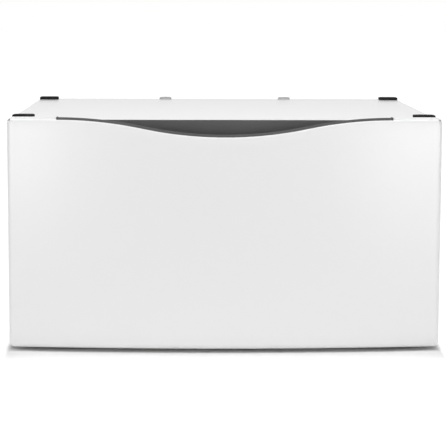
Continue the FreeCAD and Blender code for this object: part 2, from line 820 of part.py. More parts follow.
def block(name, plane, outline, low, high):
    """An outline drawn out from low to high along +Z, or along +Y for the XZ plane."""
    sketch = loose_sketch(f"{name}_outline", plane, low, outline)
    solid = doc.addObject("Part::Extrusion", name)
    solid.Base = sketch
    solid.DirMode = "Custom"
    solid.Dir = FreeCAD.Vector(0, 1, 0) if plane == "XZ" else FreeCAD.Vector(0, 0, 1)
    solid.Solid = True
    bind(solid, "LengthFwd", f"({high}) - ({low})")
    return solid


def common(name, first, second):
    solid = doc.addObject("Part::Common", name)
    solid.Base = first
    solid.Tool = second
    return solid


def cut(name, base, tool):
    solid = doc.addObject("Part::Cut", name)
    solid.Base = base
    solid.Tool = tool
    return solid


def bowed_form(name, inset):
    """The solid form of the drawer front, inset all round, with its front edges rounded."""
    radius = f"(bow_radius - {inset})"
    plan = block(f"{name}_plan", "XY", plan_outline(inset, radius), "0", "panel_top + rim_height")
    front = block(f"{name}_front", "XZ", front_outline(inset), "crown_y - bow_rise",
                  "panel_back_y")
    form = common(name, plan, front)
    doc.recompute()
    bow_face = max(
        (face for face in form.Shape.Faces
         if isinstance(face.Surface, Part.Cylinder) and abs(face.Surface.Axis.z) > 0.5),
        key=lambda face: face.Area,
    )
    edges = [index for index, edge in enumerate(form.Shape.Edges, start=1)
             if any(edge.isSame(other) for other in bow_face.Edges)]
    rounding = doc.addObject("Part::Fillet", f"{name}_rounded")
    rounding.Base = form
    size = value(f"edge_round - {inset}")
    rounding.Edges = [(index, size, size) for index in edges]
    return rounding


def make_front_panel():
    """The white steel shell of the drawer front, open at the back and along the handle's rim."""
    outer = bowed_form("front_form", "0")
    inner = bowed_form("front_hollow", "panel_steel")
    shell = cut("front_shell", outer, inner)
    cover = block("front_notch", "XZ", scoop_cover("rim_drop", "rim_half"),
                  "crown_y - bow_rise", "panel_back_y + bow_rise")
    keep(cut("front_panel_cut", shell, cover), "drawer_front_panel")


def make_liner():
    """The inner plate of the drawer front, with a rim folded forwards inside the shell."""
    body = new_body("drawer_front_liner")
    corner = "panel_corner - liner_inset"
    pad(body, "XZ", rounded("-liner_x", "liner_low", "liner_x", "liner_high", f"({corner})"),
        "liner_front_y", "panel_back_y")
    pocket(body, "XZ", rounded(
        "-(liner_x - drawer_steel)", "liner_low + drawer_steel", "liner_x - drawer_steel",
        "liner_high - drawer_steel", f"({corner} - drawer_steel)"),
        "liner_front_y", "panel_back_y - drawer_steel")
    pocket(body, "XZ", rectangle("-rim_half", "liner_cut_z", "rim_half", "panel_top"),
           "liner_front_y", "panel_back_y")
    drill(body, "XZ", both_signs([(BOX_SCREW_X, row) for row in BOX_SCREW_ROWS]),
          "screw_hole", "panel_back_y - drawer_steel", "panel_back_y")


def make_handle():
    """The dark insert: a deep finger trough whose front rim follows the scoop."""
    trough = [
        ("-rim_x", "rim_end_y"), ("rim_x", "rim_end_y"), ("rim_x", "panel_back_y"),
        ("-rim_x", "panel_back_y"),
    ]
    hollow = [
        ("-pocket_x", "pocket_end_y"), ("pocket_x", "pocket_end_y"),
        ("pocket_x", "pocket_back_y"), ("-pocket_x", "pocket_back_y"),
    ]
    outer = block("handle_body", "XY", (trough, {0: ("rim_radius", True)}), "pocket_floor", "rim_top")
    inner = block("handle_hollow", "XY", (hollow, {0: ("pocket_radius", True)}),
                  "pocket_floor + pocket_wall", "rim_top + pan_depth")
    tray = cut("handle_tray", outer, inner)
    cover = block("handle_cover", "XZ", scoop_cover("(rim_drop - rim_height)", "half_width"),
                  "crown_y - bow_rise", "pocket_back_y")
    shaped = cut("handle_shaped", tray, cover)
    trim = block("handle_back_trim", "XY", rectangle(
        "-half_width", "pocket_back_y", "half_width", "panel_back_y + bow_rise"),
        "pocket_back_top", "rim_top + pan_depth")
    keep(cut("handle_insert_cut", shaped, trim), "handle_insert")


# ---------------------------------------------------------------- drawer box

def make_box():
    """The sides fold outwards along their top and front edges, and carry a floor whose edges fold
    down inside them."""
    side = new_body("drawer_side_right")
    pad(side, "XZ", straight([
        ("box_inner_x", "box_low"), ("box_x", "box_low"), ("box_x", "box_high - drawer_steel"),
        ("box_lip_x", "box_high - drawer_steel"), ("box_lip_x", "box_high"),
        ("box_inner_x", "box_high"),
    ]), "panel_back_y", "box_rear_y")
    pad(side, "XY", rectangle(
        "box_x", "panel_back_y", "box_lip_x", "panel_back_y + drawer_steel"),
        "box_low", "box_high - drawer_steel")
    drill(side, "XZ", [(BOX_SCREW_X, row) for row in BOX_SCREW_ROWS], "screw_hole",
          "panel_back_y", "panel_back_y + drawer_steel")
    drill(side, "YZ", [(row, "slide_z") for row in SLIDE_SCREW_ROWS], "screw_hole",
          "box_inner_x", "box_x")
    mirror(side, "drawer_side_left")

    bottom = new_body("drawer_bottom")
    fold_x = "box_inner_x - drawer_steel"
    pad(bottom, "XZ", straight([
        ("-box_inner_x", "box_low"), (minus(fold_x), "box_low"),
        (minus(fold_x), "box_floor - drawer_steel"), (fold_x, "box_floor - drawer_steel"),
        (fold_x, "box_low"), ("box_inner_x", "box_low"), ("box_inner_x", "box_floor"),
        ("-box_inner_x", "box_floor"),
    ]), "bottom_front_y", "box_rear_y")

    back = new_body("drawer_back")
    outer = "box_inner_x - fit_gap"
    inner = f"{outer} - drawer_steel"
    fold = "box_rear_y - back_flange"
    pad(back, "XY", straight([
        (minus(outer), fold), (minus(inner), fold), (minus(inner), "back_inner_y"),
        (inner, "back_inner_y"), (inner, fold), (outer, fold), (outer, "box_rear_y"),
        (minus(outer), "box_rear_y"),
    ]), "box_floor", "box_high - drawer_steel - fit_gap")


def make_divider():
    body = new_body("drawer_divider")
    low = "divider_front_y"
    high = "divider_rear_y"
    middle = "(divider_front_y + divider_rear_y) / 2"
    pad(body, "YZ", straight([
        (low, "divider_low"), (high, "divider_low"), (high, "divider_high"),
        (f"{middle} + grip_half", "divider_high"),
        (f"{middle} + grip_half - grip_depth", "divider_high - grip_depth"),
        (f"{middle} - grip_half + grip_depth", "divider_high - grip_depth"),
        (f"{middle} - grip_half", "divider_high"), (low, "divider_high"),
    ]), "divider_offset - divider_half", "divider_offset + divider_half")
    for label, wall, sign in (
        ("divider_guide_front", "panel_back_y", "+"), ("divider_guide_rear", "back_inner_y", "-"),
    ):
        guide = new_body(label)
        seat = f"{wall} {sign} guide_wall"
        tip = f"{wall} {sign} guide_depth"
        pad(guide, "XY", straight([
            ("divider_offset - guide_half", wall), ("divider_offset + guide_half", wall),
            ("divider_offset + guide_half", tip), ("divider_offset + slot_half", tip),
            ("divider_offset + slot_half", seat), ("divider_offset - slot_half", seat),
            ("divider_offset - slot_half", tip), ("divider_offset - guide_half", tip),
        ]), "guide_low", "divider_high")


# ---------------------------------------------------------------- slides

def slide_channel(web_u, tip_u, half, opens_inwards):
    """Section of a slide member. u runs from the bracket to the drawer, and the web lies at web_u."""
    web_x = f"slide_x - ({web_u})"
    sign = "-" if opens_inwards else "+"
    inner_x = f"{web_x} {sign} slide_steel"
    tip_x = f"slide_x - ({tip_u})"
    low = f"slide_z - {half}"
    high = f"slide_z + {half}"
    return straight([
        (web_x, low), (tip_x, low), (tip_x, f"{low} + slide_steel"),
        (inner_x, f"{low} + slide_steel"), (inner_x, f"{high} - slide_steel"),
        (tip_x, f"{high} - slide_steel"), (tip_x, high), (web_x, high),
    ])


def make_brackets():
    """Hat-shaped brackets that bring the slides in past the folded front edges of the cabinet."""
    body = new_body("slide_bracket_right")
    half = "outer_half"
    foot = "outer_half + bracket_foot"
    pad(body, "XZ", straight([
        ("side_inner_x", f"slide_z - ({foot})"), ("side_inner_x", f"slide_z - {half} + steel"),
        ("slide_x + steel", f"slide_z - {half} + steel"),
        ("slide_x + steel", f"slide_z + {half} - steel"),
        ("side_inner_x", f"slide_z + {half} - steel"), ("side_inner_x", f"slide_z + {foot}"),
        ("side_inner_x - steel", f"slide_z + {foot}"), ("side_inner_x - steel", f"slide_z + {half}"),
        ("slide_x", f"slide_z + {half}"), ("slide_x", f"slide_z - {half}"),
        ("side_inner_x - steel", f"slide_z - {half}"),
        ("side_inner_x - steel", f"slide_z - ({foot})"),
    ]), "slide_front_y", "slide_front_y + bracket_length")
    drill(body, "YZ", [(row, "slide_z") for row in SLIDE_SCREW_ROWS], "screw_hole",
          "slide_x", "slide_x + steel")
    mirror(body, "slide_bracket_left")


def make_members():
    outer = new_body("slide_outer_right")
    pad(outer, "XZ", slide_channel("0", "outer_flange_u", "outer_half", True),
        "slide_front_y", "slide_rear_y")
    drill(outer, "YZ", [(row, "slide_z") for row in SLIDE_SCREW_ROWS], "flat_head_hole",
          "slide_x - slide_steel", "slide_x")
    mirror(outer, "slide_outer_left")

    middle = new_body("slide_middle_right")
    pad(middle, "XZ", slide_channel("middle_u", "middle_flange_u", "middle_half", True),
        "middle_front_y", "middle_rear_y")
    mirror(middle, "slide_middle_left")

    inner = new_body("slide_inner_right")
    pad(inner, "XZ", slide_channel("slide_width", "inner_u", "inner_half", False),
        "slide_front_y", "slide_rear_y")
    drill(inner, "YZ", [(row, "slide_z") for row in SLIDE_SCREW_ROWS], "screw_hole",
          "box_x", "box_x + slide_steel")
    post(inner, "YZ", ("lever_y", "slide_z"), "lever_pin_radius",
         "slide_x - inner_web_u", "slide_x - lever_u")
    mirror(inner, "slide_inner_left")


def make_levers():
    """Release levers; each turns on a pin of its inner slide member."""
    body = new_body("release_lever_right")
    end = "lever_y + lever_length"
    back = "lever_y - 2 * lever_pin_radius"
    low = "slide_z - lever_half_height"
    high = "slide_z + lever_half_height"
    pad(body, "YZ", rounded(f"({back})", f"({low})", f"({end})", f"({high})", "lever_pin_radius"),
        "slide_x - lever_u - lever_thickness", "slide_x - lever_u")
    drill(body, "YZ", [("lever_y", "slide_z")], "lever_pin_radius + lever_pin_clearance",
          "slide_x - lever_u - lever_thickness", "slide_x - lever_u")
    mirror(body, "release_lever_left")


def make_cages():
    """Ball cages: a strip above and one below hold the balls, joined by a web beside the member."""
    ball = doc.addObject("Part::Sphere", "slide_ball")
    bind(ball, "Radius", "ball_radius")
    for name, web_u, ball_u, ball_v, start in (
        ("outer", "outer_cage_u", "outer_ball_u", "outer_ball_v", "outer_cage_y"),
        ("inner", "inner_cage_u", "inner_ball_u", "inner_ball_v", "inner_cage_y"),
    ):
        body = new_body(f"{name}_cage_right")
        web_x = f"slide_x - ({web_u})"
        inner_x = f"{web_x} - cage_web"
        tip_x = f"slide_x - ({ball_u} + ball_radius + cage_tip)"
        low = f"slide_z - {ball_v} - cage_strip / 2"
        high = f"slide_z + {ball_v} + cage_strip / 2"
        pad(body, "XZ", straight([
            (web_x, low), (tip_x, low), (tip_x, f"{low} + cage_strip"),
            (inner_x, f"{low} + cage_strip"), (inner_x, f"{high} - cage_strip"),
            (tip_x, f"{high} - cage_strip"), (tip_x, high), (web_x, high),
        ]), start, f"{start} + cage_length")
        middle = f"{start} + cage_length / 2"
        rows = [f"{middle} + ball_pitch * {half} / 2" for half in HALF_PITCHES_TO_BALLS]
        drill(body, "XY", [(f"slide_x - {ball_u}", row) for row in rows],
              "pocket_play_radius", low, high)
        mirror(body, f"{name}_cage_left")
        for label, x in (("right", f"slide_x - {ball_u}"), ("left", f"-(slide_x - {ball_u})")):
            group(f"{name}_balls_{label}", ball, [
                (x, row, f"slide_z {sign} {ball_v}") for row in rows for sign in "-+"])


# ---------------------------------------------------------------- screws and bumpers

def make_screws():
    """Pan-head screws are made head up, with the underside of the head at height 0."""
    screw = pattern_piece("pan_head_screw")
    turned(screw, straight([
        ("0", "-screw_length"), ("screw_radius", "-screw_length"), ("screw_radius", "0"),
        ("screw_head_radius", "0"), ("screw_head_radius", "screw_head / 2"),
        ("screw_head_radius / 2", "screw_head"), ("0", "screw_head"),
    ]))
    flat = pattern_piece("flat_head_screw")
    turned(flat, straight([
        ("0", "-screw_length"), ("screw_radius", "-screw_length"), ("screw_radius", "0"),
        ("screw_head_radius", "0"), ("screw_head_radius", "flat_head"), ("0", "flat_head"),
    ]))
    group("rear_panel_screws", screw, [
        (x, "rear_y", z) for x, z in both_signs([(REAR_SCREW_X, row) for row in REAR_SCREW_ROWS])
    ], FACING_REAR)
    group("drawer_front_screws", screw, [
        (x, "panel_back_y + drawer_steel", z)
        for x, z in both_signs([(BOX_SCREW_X, row) for row in BOX_SCREW_ROWS])
    ], FACING_REAR)
    group_on_both_sides("slide_screws", flat, [
        ("slide_x", row, "slide_z") for row in SLIDE_SCREW_ROWS], FACING_LEFT)
    group_on_both_sides("drawer_slide_screws", screw, [
        ("box_x + slide_steel", row, "slide_z") for row in SLIDE_SCREW_ROWS], FACING_RIGHT)


def make_bumpers():
    """Rubber buttons in the folded front edges of the cabinet; the closed drawer stops on them."""
    button = pattern_piece("bumper_button")
    turned(button, straight([
        ("0", "-bumper_stem_length"), ("bumper_stem_radius", "-bumper_stem_length"),
        ("bumper_stem_radius", "0"), ("bumper_radius", "0"),
        ("bumper_radius", "bumper_thickness / 2"),
        ("bumper_radius - bumper_thickness / 2", "bumper_thickness"), ("0", "bumper_thickness"),
    ]))
    group("drawer_bumpers", button, [
        (x, "front_y", z) for x, z in both_signs([("bumper_x", row) for row in BUMPER_ROWS])
    ], FACING_FRONT)


def check_and_write():
    """Stops on anything that failed to build, then writes one file for each sub-part."""
    doc.recompute()
    failed = [thing.Name for thing in doc.Objects
              if {"Invalid", "Error"} & set(thing.State)]
    failed += [part.Label for part in sub_parts if part.Shape.isNull() or not part.Shape.isValid()]
    failed += [part.Label for part in sub_parts
               if part.TypeId == "PartDesign::Body" and len(part.Shape.Solids) != 1]
    if failed:
        raise RuntimeError("not built: " + ", ".join(failed))
    os.makedirs("parts", exist_ok=True)
    for part in sub_parts:
        part.Shape.exportStep(os.path.join("parts", part.Label + ".step"))
        box = part.Shape.BoundBox
        print(f"{part.Label}: {len(part.Shape.Solids)} solids, {part.Shape.Volume:.0f} mm3, "
              f"x {box.XMin:.2f}..{box.XMax:.2f}, y {box.YMin:.2f}..{box.YMax:.2f}, "
              f"z {box.ZMin:.2f}..{box.ZMax:.2f}")


make_top_panel()
make_side_panels()
make_rear_panel()
make_rails()
make_base_rails()
make_pads()
make_plugs()
make_feet()
make_front_panel()
make_liner()
make_handle()
make_box()
make_divider()
make_brackets()
make_members()
make_levers()
make_cages()
make_screws()
make_bumpers()
check_and_write()
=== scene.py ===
import json
import math

import bmesh
import bpy
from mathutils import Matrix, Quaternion, Vector

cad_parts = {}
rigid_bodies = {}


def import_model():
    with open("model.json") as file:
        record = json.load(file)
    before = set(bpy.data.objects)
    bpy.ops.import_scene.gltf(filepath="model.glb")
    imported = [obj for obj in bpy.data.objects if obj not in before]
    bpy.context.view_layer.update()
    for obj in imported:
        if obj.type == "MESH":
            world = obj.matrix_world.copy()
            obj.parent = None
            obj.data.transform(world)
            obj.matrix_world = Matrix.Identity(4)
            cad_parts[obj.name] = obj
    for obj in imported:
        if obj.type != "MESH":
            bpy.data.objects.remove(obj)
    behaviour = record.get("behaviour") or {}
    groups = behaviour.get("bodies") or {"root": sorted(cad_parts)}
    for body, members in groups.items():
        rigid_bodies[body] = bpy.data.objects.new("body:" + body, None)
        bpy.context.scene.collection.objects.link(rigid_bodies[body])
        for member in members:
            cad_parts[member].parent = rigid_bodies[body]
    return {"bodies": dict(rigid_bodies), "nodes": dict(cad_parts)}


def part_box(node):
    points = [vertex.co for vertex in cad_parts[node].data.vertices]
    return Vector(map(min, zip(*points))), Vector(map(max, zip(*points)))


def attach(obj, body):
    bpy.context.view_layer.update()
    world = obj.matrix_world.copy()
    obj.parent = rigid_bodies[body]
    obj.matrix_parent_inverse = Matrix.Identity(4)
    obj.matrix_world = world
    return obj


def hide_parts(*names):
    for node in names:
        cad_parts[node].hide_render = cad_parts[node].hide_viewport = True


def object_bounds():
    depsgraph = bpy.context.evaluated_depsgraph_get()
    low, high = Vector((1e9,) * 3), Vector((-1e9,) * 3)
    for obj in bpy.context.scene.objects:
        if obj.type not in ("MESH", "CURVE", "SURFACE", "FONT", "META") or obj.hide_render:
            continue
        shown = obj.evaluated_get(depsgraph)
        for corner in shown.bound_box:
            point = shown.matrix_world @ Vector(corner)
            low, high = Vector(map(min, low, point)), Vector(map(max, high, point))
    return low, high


# The looks of a laundry pedestal with one bowed drawer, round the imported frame. Metres, +Z up, the
# front faces -Y, and the origin is on the floor in the middle of the whole outline.

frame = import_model()
nodes = frame["nodes"]
frame_low, frame_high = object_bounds()

MM = 0.001
SAME_SPOT = MM / 1000


# ---------------------------------------------------------------- finishes

# The sockets of a Mix node that it uses for colours.
MIX_FACTOR, MIX_FIRST, MIX_SECOND, MIX_RESULT = 0, 6, 7, 2
EVENLY = (1.0, 1.0, 1.0)


class Signal:
    """One output of a finish's nodes; arithmetic on it adds Math nodes."""

    def __init__(self, shading, socket):
        self.shading = shading
        self.socket = socket

    def maths(self, operation, first, second):
        return self.shading.node("ShaderNodeMath", {"operation": operation}, {0: first, 1: second})

    def __add__(self, other):
        return self.maths("ADD", self, other)

    def __radd__(self, other):
        return self.maths("ADD", other, self)

    def __mul__(self, other):
        return self.maths("MULTIPLY", self, other)

    def __rmul__(self, other):
        return self.maths("MULTIPLY", other, self)

    def __gt__(self, other):
        return self.maths("GREATER_THAN", self, other)

    def __lt__(self, other):
        return self.maths("LESS_THAN", self, other)


class Shading:
    """The nodes of one material or of the world."""

    def __init__(self, owner):
        owner.use_nodes = True
        self.tree = owner.node_tree
        self.tree.nodes.clear()

    def node(self, kind, settings=None, inputs=None, output=0):
        """Adds a node: first its settings, then what feeds its sockets, as values or signals."""
        made = self.tree.nodes.new(kind)
        for key, setting in (settings or {}).items():
            setattr(made, key, setting)
        for key, feed in (inputs or {}).items():
            if isinstance(feed, Signal):
                self.tree.links.new(feed.socket, made.inputs[key])
            else:
                made.inputs[key].default_value = feed
        return Signal(self, made.outputs[output]) if made.outputs else None

    def place(self, stretch):
        """The spot on the piece in metres, stretched along each axis."""
        spot = self.node("ShaderNodeTexCoord", output="Object")
        return self.node("ShaderNodeMapping", inputs={"Vector": spot, "Scale": stretch})

    def noise(self, scale, detail, roughness=0.5, stretch=EVENLY):
        """Soft noise with a number of waves to the metre."""
        return self.node("ShaderNodeTexNoise", inputs={
            "Vector": self.place(stretch), "Scale": scale, "Detail": detail,
            "Roughness": roughness,
        })

    def cells(self, scale, output="Distance", feature="F1", stretch=EVENLY):
        """Scattered cells with a number of them to the metre."""
        return self.node("ShaderNodeTexVoronoi", {"feature": feature}, {
            "Vector": self.place(stretch), "Scale": scale,
        }, output)

    def remap(self, signal, low, high, to_low=0.0, to_high=1.0):
        """Spreads what lies from low to high over another range."""
        return self.node("ShaderNodeMapRange", inputs={
            "Value": signal, "From Min": low, "From Max": high, "To Min": to_low, "To Max": to_high,
        })

    def tint(self, factor, first, second):
        """A colour between two colours."""
        return self.node("ShaderNodeMix", {"data_type": "RGBA"}, {
            MIX_FACTOR: factor, MIX_FIRST: first, MIX_SECOND: second,
        }, MIX_RESULT)

    def vector(self, operation, *feeds, output=0):
        """Vector maths on one or two vectors."""
        return self.node(
            "ShaderNodeVectorMath", {"operation": operation}, dict(enumerate(feeds)), output)

    def bump(self, height, distance):
        return self.node("ShaderNodeBump", inputs={"Height": height, "Distance": distance})

    def surface(self, shader):
        self.node("ShaderNodeOutputMaterial", inputs={"Surface": shader})

    def finish(self, colour, roughness, normal, **fixed):
        """The surface from what varies over it; what is the same all over is fixed."""
        inputs = {"Base Color": colour, "Roughness": roughness, "Normal": normal}
        inputs.update({key.replace("_", " "): setting for key, setting in fixed.items()})
        self.surface(self.node("ShaderNodeBsdfPrincipled", inputs=inputs))


def grey(level, warmth=0.0):
    """An RGBA colour of one brightness, a little warmer or cooler."""
    return (level * (1 + warmth), level, level * (1 - warmth), 1.0)


def started(name):
    """A new material and its nodes."""
    material = bpy.data.materials.new(name)
    return material, Shading(material)


def powder_coat(name, light, shade, roughness, peel):
    """Baked enamel: an even tone, and the shallow ripple that the powder leaves."""
    material, s = started(name)
    tone = s.tint(s.remap(s.noise(scale=2.0, detail=0.0), 0.2, 0.8), shade, light)
    cloud = s.noise(scale=3.0, detail=0.0)
    gloss = s.remap(cloud, 0.2, 0.8, roughness - 0.01, roughness + 0.02)
    ripple = s.noise(scale=130.0, detail=1.0, roughness=0.4)
    s.finish(tone, gloss, s.bump(ripple, peel), Coat_Weight=0.4, Coat_Roughness=0.2)
    return material


def moulded_plastic(name, light, shade, roughness, pits_per_metre, grain):
    """Injection-moulded plastic with a spark-eroded grain."""
    material, s = started(name)
    cloud = s.noise(scale=9.0, detail=4.0)
    pits = s.cells(pits_per_metre)
    between_pits = s.noise(scale=pits_per_metre * 0.6, detail=2.0)
    tone = s.tint(s.remap(cloud, 0.35, 0.65), shade, light)
    gloss = s.remap(cloud + 0.3 * pits, 0.3, 0.9, roughness - 0.05, roughness + 0.06)
    s.finish(tone, gloss, s.bump(pits + 0.5 * between_pits, grain), Specular_IOR_Level=0.22)
    return material


def rubber(name):
    """Black rubber with a dry, uneven bloom."""
    material, s = started(name)
    bloom = s.noise(scale=24.0, detail=5.0)
    grain = s.noise(scale=1500.0, detail=2.0)
    tone = s.tint(s.remap(bloom, 0.45, 0.75), grey(0.013), grey(0.032, 0.02))
    gloss = s.remap(bloom, 0.3, 0.7, 0.85, 0.95)
    s.finish(tone, gloss, s.bump(grain, 0.05 * MM), Specular_IOR_Level=0.1)
    return material


def galvanised(name):
    """Zinc-dipped sheet: flat crystals, each with its own tone and gloss."""
    crystals_per_metre = 150.0
    drawn_out = (1.0, 0.8, 1.0)
    material, s = started(name)
    crystal = s.node("ShaderNodeSeparateColor", inputs={
        "Color": s.cells(crystals_per_metre, "Color", stretch=drawn_out)})
    bloom = s.noise(scale=4.0, detail=2.0)
    tone = s.tint(s.remap(0.5 * crystal + bloom, 0.3, 1.2), grey(0.47, -0.02), grey(0.56, -0.01))
    gloss = s.remap(crystal, 0.0, 1.0, 0.36, 0.46)
    ridges = s.cells(crystals_per_metre, feature="DISTANCE_TO_EDGE", stretch=drawn_out)
    s.finish(tone, gloss, s.bump(s.remap(ridges, 0.0, 0.06), 0.004 * MM), Metallic=0.85)
    return material


def rolled_steel(name, low, high, roughness):
    """Bright zinc-plated strip with draw lines that run along it."""
    material, s = started(name)
    lines = s.noise(scale=2200.0, detail=3.0, stretch=(1.0, 0.01, 1.0))
    cloud = s.noise(scale=18.0, detail=4.0)
    tone = s.tint(s.remap(lines + 0.5 * cloud, 0.5, 1.0), low, high)
    gloss = s.remap(lines, 0.3, 0.7, roughness - 0.06, roughness + 0.08)
    s.finish(tone, gloss, s.bump(lines, 0.01 * MM), Metallic=1.0)
    return material


def plated(name, low, high, roughness):
    """Plated hardware: even metal with faint handling marks."""
    material, s = started(name)
    tone = s.tint(s.remap(s.noise(scale=160.0, detail=5.0), 0.35, 0.7), low, high)
    marks = s.noise(scale=420.0, detail=3.0)
    gloss = s.remap(marks, 0.3, 0.7, roughness - 0.06, roughness + 0.1)
    s.finish(tone, gloss, s.bump(s.noise(scale=900.0, detail=2.0), 0.01 * MM), Metallic=1.0)
    return material


FINISHES = {
    "white_enamel": powder_coat(
        "white_enamel_coat", grey(0.865), grey(0.855), roughness=0.3, peel=0.004 * MM),
    "white_interior": powder_coat(
        "white_inside_coat", grey(0.79), grey(0.775), roughness=0.42, peel=0.006 * MM),
    "galvanised_sheet": galvanised("zinc_dipped_sheet"),
    "slide_steel": rolled_steel("slide_strip", grey(0.50), grey(0.68, 0.01), roughness=0.28),
    "bearing_steel": plated("ball_steel", grey(0.55), grey(0.66), roughness=0.14),
    "zinc_hardware": plated("zinc_plating", grey(0.48, 0.03), grey(0.62, 0.04), roughness=0.3),
    "charcoal_plastic": moulded_plastic(
        "charcoal_grained", grey(0.112), grey(0.098),
        roughness=0.6, pits_per_metre=1600.0, grain=0.03 * MM),
    "black_rubber": rubber("black_rubber_compound"),
    "grey_plastic": moulded_plastic(
        "plug_grey", grey(0.56), grey(0.50),
        roughness=0.48, pits_per_metre=1800.0, grain=0.015 * MM),
    "white_plastic": moulded_plastic(
        "natural_white_plastic", grey(0.74, 0.01), grey(0.68, 0.02),
        roughness=0.4, pits_per_metre=1400.0, grain=0.02 * MM),
    "black_plastic": moulded_plastic(
        "lever_black", grey(0.028), grey(0.018),
        roughness=0.45, pits_per_metre=1500.0, grain=0.03 * MM),
}

BODY_NAMES = {empty: name for name, empty in frame["bodies"].items()}
FINISH_OF_NODE = {}
for node_name, node_object in nodes.items():
    for holder in node_object.material_slots:
        slot_name = holder.material.name.split(".")[0]
        FINISH_OF_NODE[node_name] = slot_name
        holder.material = FINISHES[slot_name]


# ---------------------------------------------------------------- pieces

SHARP = math.radians(35)


def mark_edges(mesh):
    """Smooth faces, with every edge that turns sharply kept crisp."""
    form = bmesh.new()
    form.from_mesh(mesh)
    for edge in form.edges:
        edge.smooth = len(edge.link_faces) == 2 and edge.calc_face_angle() < SHARP
    for face in form.faces:
        face.smooth = True
    form.to_mesh(mesh)
    form.free()


def add_modifiers(owner, modifiers):
    for kind, settings in modifiers:
        modifier = owner.modifiers.new(kind.lower(), kind)
        for key, setting in settings.items():
            setattr(modifier, key, setting)


def new_piece(name, form, node, modifiers=()):
    """Makes a bmesh form the piece that stands for a node: works its modifiers into the mesh, gives
    it the node's finish, and hangs it on the node's body."""
    bmesh.ops.recalc_face_normals(form, faces=form.faces)
    rough = bpy.data.meshes.new(f"{name}_form")
    form.to_mesh(rough)
    form.free()
    piece = bpy.data.objects.new(name, rough)
    bpy.context.scene.collection.objects.link(piece)
    add_modifiers(piece, modifiers)
    view = bpy.context.evaluated_depsgraph_get()
    piece.data = bpy.data.meshes.new_from_object(piece.evaluated_get(view))
    piece.data.name = name
    piece.modifiers.clear()
    mark_edges(piece.data)
    slot = FINISH_OF_NODE[node]
    piece.data.materials.clear()
    piece.data.materials.append(FINISHES[slot])
    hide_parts(node)
    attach(piece, BODY_NAMES[nodes[node].parent])


def bridge(form, first, second):
    """Joins two rings with faces. Either may be a single point."""
    for index in range(max(len(first), len(second))):
        corners = (first[index % len(first)], first[(index + 1) % len(first)],
                   second[(index + 1) % len(second)], second[index % len(second)])
        form.faces.new(tuple(dict.fromkeys(corners)))


def between(first, last, steps):
    """Evenly spaced numbers after first, up to last."""
    return [first + (last - first) * (index + 1) / steps for index in range(steps)]


# ---------------------------------------------------------------- drawer front

front_low, front_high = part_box("drawer_front_panel")
TOP_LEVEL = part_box("top_panel")[1].z

HALF_WIDTH = front_high.x
FRONT_DEPTH = 41 * MM
CROWN_Y = front_high.y - FRONT_DEPTH
BOW_RISE = 21 * MM
BOW_RADIUS = (HALF_WIDTH ** 2 + BOW_RISE ** 2) / (2 * BOW_RISE)
PANEL_STEEL = 1 * MM
FACE_ROWS = 24

# The rounded edge starts with a steep turn, and a narrow plain strip follows it on the fold.
EDGE_ROUND = 7 * MM
EDGE_START = math.radians(75)
EDGE_STEPS = 4
PLAIN_STRIP = 0.7 * MM
CORNER = 9 * MM
CORNER_STEPS = 8
RELIEF_STEPS = (3, 4, 5)

# The scoop is a wave of arcs with one radius, and the insert's rim reaches a little past it.
SCOOP_HALF = 259 * MM
SCOOP_DEPTH = 26.5 * MM
SCOOP_RADIUS = (SCOOP_HALF ** 2 + SCOOP_DEPTH ** 2) / (4 * SCOOP_DEPTH)
SCOOP_STEPS = 12
RIM_HALF = 265.5 * MM
RIM_DROP = 3.2 * MM
NOTCH_PLAY = 0.01 * MM
STEPS_TO_RIM = 5
STEPS_TO_SCOOP = 2


def bow(x, setback=0.0):
    """Where the bowed front is at x, or a face that lies behind it by a setback."""
    radius = BOW_RADIUS - setback
    return CROWN_Y + BOW_RADIUS - math.sqrt(radius ** 2 - x ** 2)


def scoop_edge():
    """The scoop from left to right: (x, drop below the top edge, slope of the outward normal)."""
    bend = math.asin(SCOOP_HALF / 2 / SCOOP_RADIUS)
    turns = [bend * step / SCOOP_STEPS for step in range(-SCOOP_STEPS, SCOOP_STEPS + 1)]
    arc = [(SCOOP_RADIUS * math.sin(turn), SCOOP_RADIUS * (1 - math.cos(turn)), turn)
           for turn in turns]
    left = [(x - SCOOP_HALF, drop, turn) for x, drop, turn in arc[SCOOP_STEPS:-1]]
    middle = [(x, SCOOP_DEPTH - rise, -turn) for x, rise, turn in arc]
    right = [(-x, drop, -turn) for x, drop, turn in reversed(left)]
    return left + middle + right


def scoop_drop(x):
    """How far the scoop has dropped at x."""
    across = abs(x)
    if across >= SCOOP_HALF:
        return 0.0
    if across > SCOOP_HALF / 2:
        return SCOOP_RADIUS - math.sqrt(SCOOP_RADIUS ** 2 - (SCOOP_HALF - across) ** 2)
    return SCOOP_DEPTH - SCOOP_RADIUS + math.sqrt(SCOOP_RADIUS ** 2 - across ** 2)


